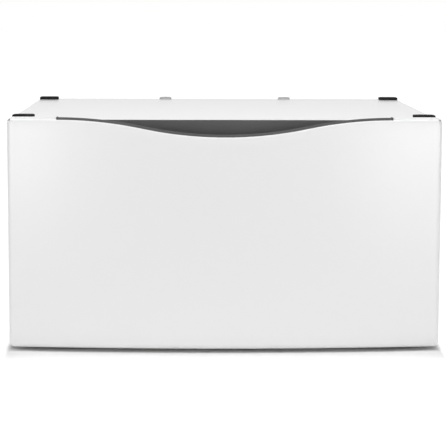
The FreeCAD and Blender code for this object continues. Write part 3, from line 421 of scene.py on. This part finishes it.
def front_rows():
    """The front's top and bottom edges from left to right, as (x, z, normal x, normal z)."""
    left = []
    for step in range(CORNER_STEPS + 1):
        turn = math.pi - math.pi / 2 * step / CORNER_STEPS
        left.append((-HALF_WIDTH + CORNER + CORNER * math.cos(turn),
                     front_high.z - CORNER + CORNER * math.sin(turn),
                     math.cos(turn), math.sin(turn)))
    level = between(-HALF_WIDTH + CORNER, -RIM_HALF, STEPS_TO_RIM)
    level += between(-RIM_HALF, -SCOOP_HALF, STEPS_TO_SCOOP)[:-1]
    left += [(x, front_high.z, 0.0, 1.0) for x in level]
    scoop = [(x, front_high.z - drop, math.sin(turn), math.cos(turn))
             for x, drop, turn in scoop_edge()]
    right = [(-x, z, -normal_x, normal_z) for x, z, normal_x, normal_z in reversed(left)]
    top = left + scoop + right
    bottom = []
    for column, (x, z, normal_x, normal_z) in enumerate(top):
        if min(column, len(top) - 1 - column) <= CORNER_STEPS:
            bottom.append((x, front_low.z + front_high.z - z, normal_x, -normal_z))
        else:
            bottom.append((x - EDGE_ROUND * normal_x, front_low.z, 0.0, -1.0))
    return top, bottom


def front_face(form, top, bottom):
    """The front between its rounded edges, as {(column, row): vertex}."""
    grid = {}
    for column in range(len(top)):
        (low_x, low_z), (high_x, high_z) = [
            (x - EDGE_ROUND * normal_x, z - EDGE_ROUND * normal_z)
            for x, z, normal_x, normal_z in (bottom[column], top[column])]
        for row in range(FACE_ROWS + 1):
            share = row / FACE_ROWS
            x = low_x + (high_x - low_x) * share
            z = low_z + (high_z - low_z) * share
            grid[column, row] = form.verts.new((x, bow(x), z))
    for column in range(len(top) - 1):
        for row in range(FACE_ROWS):
            form.faces.new((grid[column, row], grid[column + 1, row],
                            grid[column + 1, row + 1], grid[column, row + 1]))
    return grid


def make_front():
    """The drawer front: a bowed skin with rounded edges, folded back at its sides, top and bottom.
    Along the handle it stops at a cut edge, below the insert's rim. Each top corner has the small
    relief opening where its folds meet."""
    top, bottom = front_rows()
    last = len(top) - 1
    form = bmesh.new()
    grid = front_face(form, top, bottom)

    # Once round: the place and outward normal of each spot of the edge, and its spot in the grid.
    border = [(bottom[column], (column, 0)) for column in range(last + 1)]
    border += [((HALF_WIDTH, grid[last, row].co.z, 1.0, 0.0), (last, row))
               for row in range(1, FACE_ROWS)]
    border += [(top[column], (column, FACE_ROWS)) for column in range(last, -1, -1)]
    border += [((-HALF_WIDTH, grid[0, row].co.z, -1.0, 0.0), (0, row))
               for row in range(FACE_ROWS - 1, 0, -1)]

    rim_turn = math.acos(1 - RIM_DROP / EDGE_ROUND)
    turns = [EDGE_START, (EDGE_START + rim_turn) / 2, rim_turn]
    turns += between(rim_turn, 0.0, EDGE_STEPS)
    steps = [(EDGE_ROUND * (1 - math.cos(turn)), EDGE_ROUND * (1 - math.sin(turn)))
             for turn in turns]
    steps.append((0.0, EDGE_ROUND + PLAIN_STRIP))
    rings = [[grid[spot] for _, spot in border]]
    for inset, setback in steps:
        spots = [(x - normal_x * inset, z - normal_z * inset)
                 for (x, z, normal_x, normal_z), _ in border]
        rings.append([form.verts.new((x, bow(x) + setback, z)) for x, z in spots])
    rings.append([form.verts.new((x, front_high.y, z)) for (x, z, _, _), _ in border])

    notch_from = turns.index(rim_turn) + 1
    relief = {(column, FACE_ROWS) for step in RELIEF_STEPS for column in (step, last - step)}
    for level, (ring_before, ring_after) in enumerate(zip(rings, rings[1:])):
        for index in range(len(border)):
            after = (index + 1) % len(border)
            pair = (border[index], border[after])
            in_notch = all(row == FACE_ROWS and abs(edge[0]) <= RIM_HALF + NOTCH_PLAY
                           for edge, (_, row) in pair)
            in_relief = level < len(turns) and all(spot in relief for _, spot in pair)
            if level < notch_from or not (in_notch or in_relief):
                form.faces.new((ring_before[after], ring_before[index],
                                ring_after[index], ring_after[after]))
    bmesh.ops.delete(form, geom=[v for v in form.verts if not v.link_faces], context="VERTS")
    new_piece("drawer_front", form, "drawer_front_panel", [
        ("SOLIDIFY", {"thickness": PANEL_STEEL, "offset": -1.0, "use_even_offset": True})])


# ---------------------------------------------------------------- handle insert

insert_low, insert_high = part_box("handle_insert")

RIM_PROUD = 0.8 * MM
RIM_END_GAP = 0.2 * MM
RIM_SETBACK = insert_low.y - CROWN_Y
RIM_STEPS = 72
REAR_STEPS = 36
REAR_LEVEL = TOP_LEVEL - 0.6 * MM
REAR_RISE_FROM = insert_high.y - 5 * MM
REAR_RISE = 2.4 * MM
TROUGH_WALL = 2.5 * MM
TROUGH_CORNER = 5 * MM
TROUGH_EDGE = 0.9 * MM
TROUGH_FOOT = 6 * MM
ROUND_STEPS = 5
EDGE_ROUND_STEPS = 3
WALL_SHARES = (0.25, 0.5, 0.75)


def rounding(radius, steps):
    """Insets and drops round a quarter turn, from the wall to the flat: (across, along) pairs."""
    turns = [math.pi / 2 * step / steps for step in range(steps + 1)]
    return [(radius * (1 - math.cos(turn)), radius * (1 - math.sin(turn))) for turn in turns]


def insert_outline():
    """The trough from above, anticlockwise from its left front corner: (x, y, normal x, y)."""
    radius = BOW_RADIUS - RIM_SETBACK
    lean = math.asin((RIM_HALF - RIM_END_GAP - TROUGH_CORNER) / radius)
    end_x = radius * math.sin(lean)
    front = []
    for x in between(-end_x, end_x, RIM_STEPS)[:-1]:
        slope = math.asin(x / radius)
        front.append((x, bow(x, RIM_SETBACK), math.sin(slope), -math.cos(slope)))
    corner_x = end_x - TROUGH_CORNER * math.sin(lean)
    front_corner_y = bow(end_x, RIM_SETBACK) + TROUGH_CORNER * math.cos(lean)
    right = []
    for corner_y, start, end in (
        (front_corner_y, lean - math.pi / 2, 0.0),
        (insert_high.y - TROUGH_CORNER, 0.0, math.pi / 2),
    ):
        for turn in [start] + between(start, end, ROUND_STEPS):
            right.append((corner_x + TROUGH_CORNER * math.cos(turn),
                          corner_y + TROUGH_CORNER * math.sin(turn),
                          math.cos(turn), math.sin(turn)))
    rear = [(x, insert_high.y, 0.0, 1.0) for x in between(corner_x, -corner_x, REAR_STEPS)[:-1]]
    left = [(-x, y, -normal_x, normal_y) for x, y, normal_x, normal_y in reversed(right)]
    return front + right + rear + left


def rim_height(x, y):
    """The rim follows the scoop, and eases over to the level of the rear wall."""
    behind = min(max((y - REAR_RISE_FROM) / REAR_RISE, 0.0), 1.0)
    ease = behind * behind * (3 - 2 * behind)
    return (front_high.z + RIM_PROUD - scoop_drop(x)) * (1 - ease) + REAR_LEVEL * ease


def trough_profile():
    """Up the outside, over the rim and down the inside: (inset, share of the way down, rise)."""
    inner_foot = TROUGH_FOOT - TROUGH_WALL
    edge = rounding(TROUGH_EDGE, EDGE_ROUND_STEPS)
    profile = [(across, 1.0, along - TROUGH_FOOT)
               for across, along in reversed(rounding(TROUGH_FOOT, ROUND_STEPS))]
    profile += [(0.0, share, 0.0) for share in reversed(WALL_SHARES)]
    profile += [(across, 0.0, -along) for across, along in edge]
    profile += [(TROUGH_WALL - across, 0.0, -along) for across, along in reversed(edge)]
    profile += [(TROUGH_WALL, share, 0.0) for share in WALL_SHARES]
    profile += [(TROUGH_WALL + across, 1.0, along - inner_foot)
                for across, along in rounding(inner_foot, ROUND_STEPS)]
    return profile


def make_insert():
    """The handle's moulded trough: a rim that follows the scoop, four walls and a rounded floor."""
    outline = [(rim_height(x, y), x, y, normal_x, normal_y)
               for x, y, normal_x, normal_y in insert_outline()]
    foot_level = insert_low.z + TROUGH_FOOT
    form = bmesh.new()
    loops = []
    for inset, share, rise in trough_profile():
        loops.append([
            form.verts.new((x - normal_x * inset, y - normal_y * inset,
                            top + (foot_level - top) * share + rise))
            for top, x, y, normal_x, normal_y in outline])
    for lower_loop, upper_loop in zip(loops, loops[1:]):
        bridge(form, lower_loop, upper_loop)
    form.faces.new(loops[0][::-1])
    form.faces.new(loops[-1])
    new_piece("handle_trough", form, "handle_insert")


# ---------------------------------------------------------------- turned and moulded pieces

# From here to the end of this part, rings are in millimetres: (across, beside, along) the axis.

FULL_TURN = 2 * math.pi
X = Vector((1, 0, 0))
Y = Vector((0, 1, 0))
Z = Vector((0, 0, 1))
SIDES = ("left", "right")
CORNERS = [f"{end}_{side}" for end in ("front", "rear") for side in SIDES]
RING_STEPS = 48
FINE_RING_STEPS = 96
NEARLY_NONE = 0.01


def ring(reach, along, steps=RING_STEPS):
    """One ring of a piece. Its reach from the axis is one number, or a function of the angle."""
    spots = []
    for index in range(steps):
        turn = FULL_TURN * index / steps
        length = reach(turn) if callable(reach) else reach
        spots.append((length * math.cos(turn), length * math.sin(turn), along))
    return spots


def round_rings(profile):
    """Plain round rings from (radius, height) pairs."""
    return [ring(radius, along) for radius, along in profile]


def tip(along):
    """A ring that has shrunk to a point on the axis."""
    return [(0.0, 0.0, along)]


def square(half, corner):
    """The reach of a square with round corners."""
    centre = half - corner

    def reach(turn):
        low, high = sorted((abs(math.cos(turn)), abs(math.sin(turn))))
        if half * low / high <= centre:
            return half / high
        middle = centre * (low + high)
        return middle + math.sqrt(middle ** 2 - 2 * centre ** 2 + corner ** 2)

    return reach


def hexagon(corner_reach, limit):
    """The reach of a hexagon whose corners are turned down to a limit."""

    def reach(turn):
        lean = turn % (FULL_TURN / 6) - FULL_TURN / 12
        return min(corner_reach * math.cos(FULL_TURN / 12) / math.cos(lean), limit)

    return reach


def cross(arm, half_width):
    """The reach of a cross-shaped driver recess."""

    def reach(turn):
        lean = abs((turn + FULL_TURN / 8) % (FULL_TURN / 4) - FULL_TURN / 8)
        return min(arm, half_width / max(math.sin(lean), NEARLY_NONE))

    return reach


def ribbed(radius, depth, count):
    """The reach of a round rim with grip ribs."""
    return lambda turn: radius - depth * (1 + math.cos(count * turn)) / 2


def thread(radius, depth, pitch, along):
    """The reach of a screw thread at one height."""
    return lambda turn: radius - depth * abs(2 * ((along / pitch - turn / FULL_TURN) % 1) - 1)


def loft(form, rings, spot, along=Z, across=X, closed=False):
    """Adds a solid through rings. A closed one is bored: its last ring joins its first."""
    beside = along.cross(across)
    rows = [[form.verts.new(spot + (across * u + beside * v + along * w) * MM) for u, v, w in each]
            for each in rings]
    for first, second in zip(rows, rows[1:]):
        bridge(form, first, second)
    if closed:
        bridge(form, rows[-1], rows[0])


def lofted_piece(name, node, rings, spot, closed=False):
    form = bmesh.new()
    loft(form, rings, spot, closed=closed)
    new_piece(name, form, node)


def underside(node):
    """The middle of a node's underside."""
    low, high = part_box(node)
    return Vector(((low.x + high.x) / 2, (low.y + high.y) / 2, low.z))


def solids_of(node):
    """The middle, lowest and highest corner of each separate solid of a node."""
    form = bmesh.new()
    form.from_mesh(nodes[node].data)
    bmesh.ops.remove_doubles(form, verts=form.verts, dist=SAME_SPOT)
    seen = set()
    solids = []
    for start in form.verts:
        if start in seen:
            continue
        seen.add(start)
        pile = [start]
        corners = []
        while pile:
            vertex = pile.pop()
            corners.append(vertex.co.copy())
            for edge in vertex.link_edges:
                other = edge.other_vert(vertex)
                if other not in seen:
                    seen.add(other)
                    pile.append(other)
        low = Vector([min(corner[axis] for corner in corners) for axis in range(3)])
        high = Vector([max(corner[axis] for corner in corners) for axis in range(3)])
        solids.append(((low + high) / 2, low, high))
    form.free()
    return solids


PAD_HALF = 17.3
PAD_CORNER = 7.0
PAD_HEIGHT = 4.5
PAD_BORE = 4.5
# (inset, height) up the pad's rounded side, then (radius, height) from its groove to its bore.
PAD_SIDE = ((0.5, 0.0), (0.0, 0.5), (0.0, 3.3), (0.15, 3.8), (0.5, 4.2), (1.0, 4.42),
            (1.7, PAD_HEIGHT))
PAD_TOP = ((13.2, PAD_HEIGHT), (12.8, 4.1), (10.6, 4.1), (10.2, PAD_HEIGHT),
           (PAD_BORE + 1.0, PAD_HEIGHT), (PAD_BORE + 0.3, 4.3), (PAD_BORE, 3.8))


def make_pads():
    """Rubber pads on the top: a rounded square with a moulded ring round its bolt hole."""
    rings = [ring(PAD_BORE, 0.0)]
    rings += [ring(square(PAD_HALF - inset, PAD_CORNER - inset), along)
              for inset, along in PAD_SIDE]
    rings += round_rings(PAD_TOP)
    for corner in CORNERS:
        node = f"top_pad_{corner}"
        lofted_piece(f"rubber_pad_{corner}", node, rings, underside(node), closed=True)


PLUG_STEM = 8.0
PLUG_DISH = 3.25
# (radius, height above the top panel) up the stem, over the rolled rim and into the dish.
PLUG_PROFILE = ((3.2, -PLUG_STEM), (4.0, -7.0), (4.0, 0.0), (11.5, 0.0), (11.5, 1.7), (11.3, 2.5),
                (10.7, 3.3), (9.8, 3.8), (8.8, 4.0), (7.9, 3.85), (7.2, 3.5), (3.5, 3.3))


def make_plugs():
    """Round plugs at the rear edge of the top, with a rolled rim and a shallow dish."""
    rings = [tip(-PLUG_STEM)] + round_rings(PLUG_PROFILE) + [tip(PLUG_DISH)]
    for side in SIDES:
        node = f"rear_plug_{side}"
        spot = underside(node)
        spot.z = TOP_LEVEL
        lofted_piece(f"top_plug_{side}", node, rings, spot)


SOLE_RADIUS = 19.0
SOLE_BEVEL = 0.8
SOLE_HEIGHT = 8.0
SOLE_HOLLOW = 1.2
SOLE_RIBS = 24
SOLE_RIB_DEPTH = 0.5

HEXAGON_REACH = 9.8
HEXAGON_HEIGHT = 6.0
CORNER_TRIM = 0.8
CHAMFER = 0.6

STUD_RADIUS = 5.0
STUD_TIP_RADIUS = 3.4
STUD_LENGTH = 45.0
THREAD_PITCH = 1.5
THREAD_DEPTH = 0.85
THREAD_FROM = 6.6
THREAD_LENGTH = 37.0
THREAD_RUN_OUT = 44.2
RINGS_A_TURN = 6
THREAD_ROOT = STUD_RADIUS - THREAD_DEPTH


def hexagon_rings(corner_reach, height):
    """A hexagon with its corners turned off at both ends."""
    return [ring(hexagon(corner_reach, corner_reach - trim), along) for trim, along in (
        (CORNER_TRIM, 0.0), (0.0, CHAMFER), (0.0, height - CHAMFER), (CORNER_TRIM, height))]


def make_feet():
    """Levelling feet: a ribbed rubber sole, a hexagon with turned corners, and a cut thread."""
    ribs = ribbed(SOLE_RADIUS, SOLE_RIB_DEPTH, SOLE_RIBS)
    sole = [tip(SOLE_HOLLOW)]
    sole += [ring(reach, along, FINE_RING_STEPS) for reach, along in (
        (12.0, SOLE_HOLLOW), (13.0, 0.0), (SOLE_RADIUS - SOLE_BEVEL, 0.0), (ribs, 0.8),
        (ribs, 5.4), (SOLE_RADIUS - SOLE_BEVEL, 6.2), (17.0, 7.6), (16.2, SOLE_HEIGHT))]
    sole.append(tip(SOLE_HEIGHT))
    stud = [tip(0.0)] + hexagon_rings(HEXAGON_REACH, HEXAGON_HEIGHT)
    stud.append(ring(THREAD_ROOT, HEXAGON_HEIGHT))
    for index in range(int(THREAD_LENGTH / THREAD_PITCH * RINGS_A_TURN) + 1):
        along = THREAD_FROM + index * THREAD_PITCH / RINGS_A_TURN
        stud.append(ring(thread(STUD_RADIUS, THREAD_DEPTH, THREAD_PITCH, along), along))
    stud += round_rings(((THREAD_ROOT, THREAD_RUN_OUT), (STUD_TIP_RADIUS, STUD_LENGTH)))
    stud.append(tip(STUD_LENGTH))
    for corner in CORNERS:
        for part, rings in (("sole", sole), ("stud", stud)):
            node = f"foot_{part}_{corner}"
            lofted_piece(f"levelling_{part}_{corner}", node, rings, underside(node))


def make_nuts():
    """Hexagon nuts on the feet, with turned corners and a chamfered bore."""
    bore = STUD_RADIUS + 0.05
    for node, name in (("lock_nuts", "lock_hexagons"), ("weld_nuts", "weld_hexagons")):
        form = bmesh.new()
        for middle, low, high in solids_of(node):
            height = (high.z - low.z) / MM
            rings = [ring(bore + CHAMFER, 0.0)]
            rings += hexagon_rings((high.x - low.x) / MM / 2, height)
            rings += round_rings(((bore + CHAMFER, height), (bore, height - CHAMFER),
                                  (bore, CHAMFER)))
            loft(form, rings, Vector((middle.x, middle.y, low.z)), closed=True)
        new_piece(name, form, node)


SCREW_RADIUS = 2.0
SCREW_ROOT = 1.6
SCREW_POINT = 1.2
SCREW_NECK = 1.7
SCREW_NECK_LENGTH = 0.3
SCREW_LENGTH = 6.0
SCREW_LEAD_IN = 0.5
SCREW_PITCH = 0.8
SCREW_TURNS = 6
# (radius, share of the head's height).
SCREW_HEAD = ((3.85, 0.0), (4.0, 0.1), (4.0, 0.35), (3.8, 0.6), (3.3, 0.82), (2.7, 0.95),
              (2.2, 1.0))
# (reach of the arms, half their width, share of the head's height) at the mouth and the floor.
RECESS_MOUTH = (1.9, 0.5, 1.0)
RECESS_FLOOR = (1.4, 0.3, 0.45)
RECESS_POINT = 0.4


def screw_rings(head):
    """A cross-recessed screw, head up, with the underside of its head at height 0."""
    rings = [tip(-SCREW_LENGTH), ring(SCREW_POINT, -SCREW_LENGTH)]
    for index in range(SCREW_TURNS):
        along = -SCREW_LENGTH + SCREW_LEAD_IN + index * SCREW_PITCH
        rings += round_rings(((SCREW_ROOT, along), (SCREW_RADIUS, along + SCREW_PITCH / 2)))
    rings += round_rings(((SCREW_NECK, -SCREW_NECK_LENGTH), (SCREW_NECK, 0.0)))
    rings += round_rings([(radius, head * share) for radius, share in SCREW_HEAD])
    rings += [ring(cross(arm, half_width), head * share)
              for arm, half_width, share in (RECESS_MOUTH, RECESS_FLOOR)]
    return rings + [tip(head * RECESS_POINT)]


def make_screws():
    """Each screw of a node stands where its solid is, and its head faces the way the solid's does:
    to the rear, or across, towards the outside or the middle of the cabinet."""
    for node, name, facing in (
        ("rear_panel_screws", "rear_panel_fixings", "rear"),
        ("drawer_front_screws", "drawer_front_fixings", "rear"),
        ("slide_screws", "slide_fixings", "middle"),
        ("drawer_slide_screws", "drawer_slide_fixings", "outside"),
    ):
        axis = 1 if facing == "rear" else 0
        form = bmesh.new()
        for middle, low, high in solids_of(node):
            sign = 1 if facing == "rear" or (middle.x > 0) == (facing == "outside") else -1
            head = (high[axis] - low[axis]) / MM - SCREW_LENGTH
            crown = high[axis] if sign > 0 else low[axis]
            spot = middle.copy()
            spot[axis] = crown - sign * head * MM
            loft(form, screw_rings(head), spot, (X, Y)[axis] * sign, Z)
        new_piece(name, form, node)


BUMPER_STEM = 6.0
# (radius, height) of the stem, and (radius, share of the button's height).
STEM_PROFILE = ((2.1, -BUMPER_STEM), (2.5, -5.4), (2.5, 0.0))
BUTTON_PROFILE = ((6.0, 0.0), (6.0, 0.45), (5.75, 0.7), (5.1, 0.9), (4.2, 1.0), (2.2, 1.0),
                  (1.8, 0.85))
BUTTON_DIMPLE = 0.8


def make_bumpers():
    """Rubber buttons that the closed drawer meets, pressed into the cabinet's front edges."""
    form = bmesh.new()
    for middle, low, high in solids_of("drawer_bumpers"):
        button = (high.y - low.y) / MM - BUMPER_STEM
        rings = [tip(-BUMPER_STEM)] + round_rings(STEM_PROFILE)
        rings += round_rings([(radius, button * share) for radius, share in BUTTON_PROFILE])
        rings.append(tip(button * BUTTON_DIMPLE))
        loft(form, rings, Vector((middle.x, low.y + button * MM, middle.z)), -Y, X)
    new_piece("bumper_buttons", form, "drawer_bumpers")


def ease_sheets():
    """Breaks the sharp edges of plain sheet and plate pieces, as deburring does."""
    easing = (
        ("WELD", {"merge_threshold": SAME_SPOT}),
        ("DECIMATE", {"decimate_type": "DISSOLVE", "angle_limit": math.radians(0.5)}),
        ("BEVEL", {"width": 0.25 * MM, "segments": 2, "limit_method": "ANGLE",
                   "angle_limit": math.radians(40), "use_clamp_overlap": True}),
        ("WEIGHTED_NORMAL", {"keep_sharp": True}),
    )
    for node in ("divider_guide_front", "divider_guide_rear", "drawer_divider", "drawer_back",
                 "drawer_bottom", "front_bottom_rail", "rear_bottom_rail",
                 "slide_middle_left", "slide_middle_right"):
        add_modifiers(nodes[node], easing)


make_front()
make_insert()
make_pads()
make_plugs()
make_feet()
make_nuts()
make_screws()
make_bumpers()
ease_sheets()


# ---------------------------------------------------------------- camera, lights and stage

IMAGE_SIDE = 447
SENSOR = 36.0
FOCAL_PIXELS = 1835.0
FAR_CLIP = 100.0

CAMERA_SPOT = Vector((-0.0551, -3.193, 0.5534))
CAMERA_YAW = math.radians(1.057)
CAMERA_PITCH = math.radians(6.901)
CAMERA_ROLL = math.radians(0.176)

FLOOR_REACH = 30.0
FLOOR_GREY = grey(0.88)
FLOOR_WHITE = grey(0.98)
# The floor goes over to white from 10 to 160 mm from the outline, and sooner beside it.
WHITE_FROM = 0.01
WHITE_AT = 0.16
WHITE_GLOW = 0.8
SOONER_BESIDE = (12.0, 1.0, 1.0)
WORLD_LIGHT = 0.32


def make_camera():
    camera = bpy.data.objects.new("camera", bpy.data.cameras.new("camera"))
    bpy.context.scene.collection.objects.link(camera)
    ahead = Vector((
        math.sin(CAMERA_YAW) * math.cos(CAMERA_PITCH),
        math.cos(CAMERA_YAW) * math.cos(CAMERA_PITCH),
        -math.sin(CAMERA_PITCH),
    ))
    camera.location = CAMERA_SPOT
    camera.rotation_mode = "QUATERNION"
    camera.rotation_quaternion = ahead.to_track_quat("-Z", "Y") @ Quaternion(Z, CAMERA_ROLL)
    camera.data.sensor_width = SENSOR
    camera.data.lens = SENSOR * FOCAL_PIXELS / IMAGE_SIDE
    camera.data.clip_end = FAR_CLIP
    bpy.context.scene.camera = camera


def softbox(name, spot, target, size, power, lights=True, mirrored=True):
    """A soft lamp. One that only lights isn't mirrored in the gloss, and the other way round."""
    light = bpy.data.lights.new(name, "AREA")
    light.shape = "RECTANGLE"
    light.size, light.size_y = size
    light.energy = power
    lamp = bpy.data.objects.new(name, light)
    bpy.context.scene.collection.objects.link(lamp)
    lamp.location = spot
    lamp.rotation_mode = "QUATERNION"
    aim = Vector(target) - Vector(spot)
    lamp.rotation_quaternion = aim.to_track_quat("-Z", "Y")
    lamp.visible_camera = False
    lamp.visible_diffuse = lights
    lamp.visible_glossy = mirrored


def seen_directly(shading):
    """1 for what the camera sees by itself, or in metal and glass, else 0."""
    camera_ray, glossy_ray, clear_ray = [
        shading.node("ShaderNodeLightPath", output=f"Is {kind} Ray")
        for kind in ("Camera", "Glossy", "Transmission")]
    return camera_ray + glossy_ray + clear_ray > 0.5


def make_floor():
    """A pale floor without an end, which keeps the pedestal's shadow and goes over to white."""
    form = bmesh.new()
    bmesh.ops.create_grid(form, x_segments=1, y_segments=1, size=FLOOR_REACH)
    mesh = bpy.data.meshes.new("floor")
    form.to_mesh(mesh)
    form.free()
    floor = bpy.data.objects.new("floor", mesh)
    bpy.context.scene.collection.objects.link(floor)

    material, s = started("studio_floor")
    away = s.vector("ABSOLUTE", s.node("ShaderNodeTexCoord", output="Object"))
    away = s.vector("SUBTRACT", away, (frame_high.x, frame_high.y, 0.0))
    away = s.vector("MAXIMUM", away, (0.0, 0.0, 0.0))
    away = s.vector("MULTIPLY", away, SOONER_BESIDE)
    distance = s.vector("LENGTH", away, output="Value")
    seen = seen_directly(s)
    whiteness = s.remap(distance, WHITE_FROM, WHITE_AT, 0.0, WHITE_GLOW) * seen
    paint = s.node("ShaderNodeBsdfDiffuse", inputs={
        "Color": s.tint(seen, FLOOR_GREY, FLOOR_WHITE)})
    glow = s.node("ShaderNodeEmission", inputs={
        "Color": s.tint(whiteness, grey(0.0), grey(1.0)), "Strength": 1.0})
    s.surface(s.node("ShaderNodeAddShader", inputs={0: paint, 1: glow}))
    mesh.materials.append(material)


def make_surroundings():
    """White all round, which lights the pedestal less than it shows."""
    world = bpy.data.worlds.new("studio")
    bpy.context.scene.world = world
    s = Shading(world)
    strength = s.remap(seen_directly(s), 0.0, 1.0, WORLD_LIGHT, 1.0)
    around = s.node("ShaderNodeBackground", inputs={"Color": grey(1.0), "Strength": strength})
    s.node("ShaderNodeOutputWorld", inputs={"Surface": around})


make_camera()
softbox("overhead_box", (0.0, -0.75, 1.45), (0.0, -0.2, 0.3), (2.0, 0.6), 9.5)
softbox("crown_box", (0.0, -2.0, 2.3), (0.0, -0.3, 0.3), (2.6, 1.1), 4.0)
softbox("rear_box", (0.0, 2.0, 2.4), (0.0, 0.3, 0.1), (2.0, 1.0), 4.5)
for side in (-1, 1):
    softbox("front_box", (1.3 * side, -2.8, 0.4), (0.0, -0.3, 0.15), (1.0, 1.1), 9.0,
            mirrored=False)
    softbox("flank_box", (2.5 * side, 0.5, 1.0), (0.0, 0.1, 0.15), (1.2, 1.0), 5.0,
            mirrored=False)
    softbox("wing_box", (1.9 * side, -1.7, 0.1), (0.0, -0.2, 0.2), (0.9, 0.6), 4.2)
    softbox("side_strip", (1.4 * side, -2.7, 0.1), (0.0, -0.3, 0.2), (1.1, 0.6), 10.0,
            lights=False)
softbox("edge_strip", (0.0, -1.35, 2.0), (0.0, -0.33, 0.35), (2.6, 0.7), 17.0, lights=False)
make_floor()
make_surroundings()

bpy.context.scene.view_settings.view_transform = "Standard"
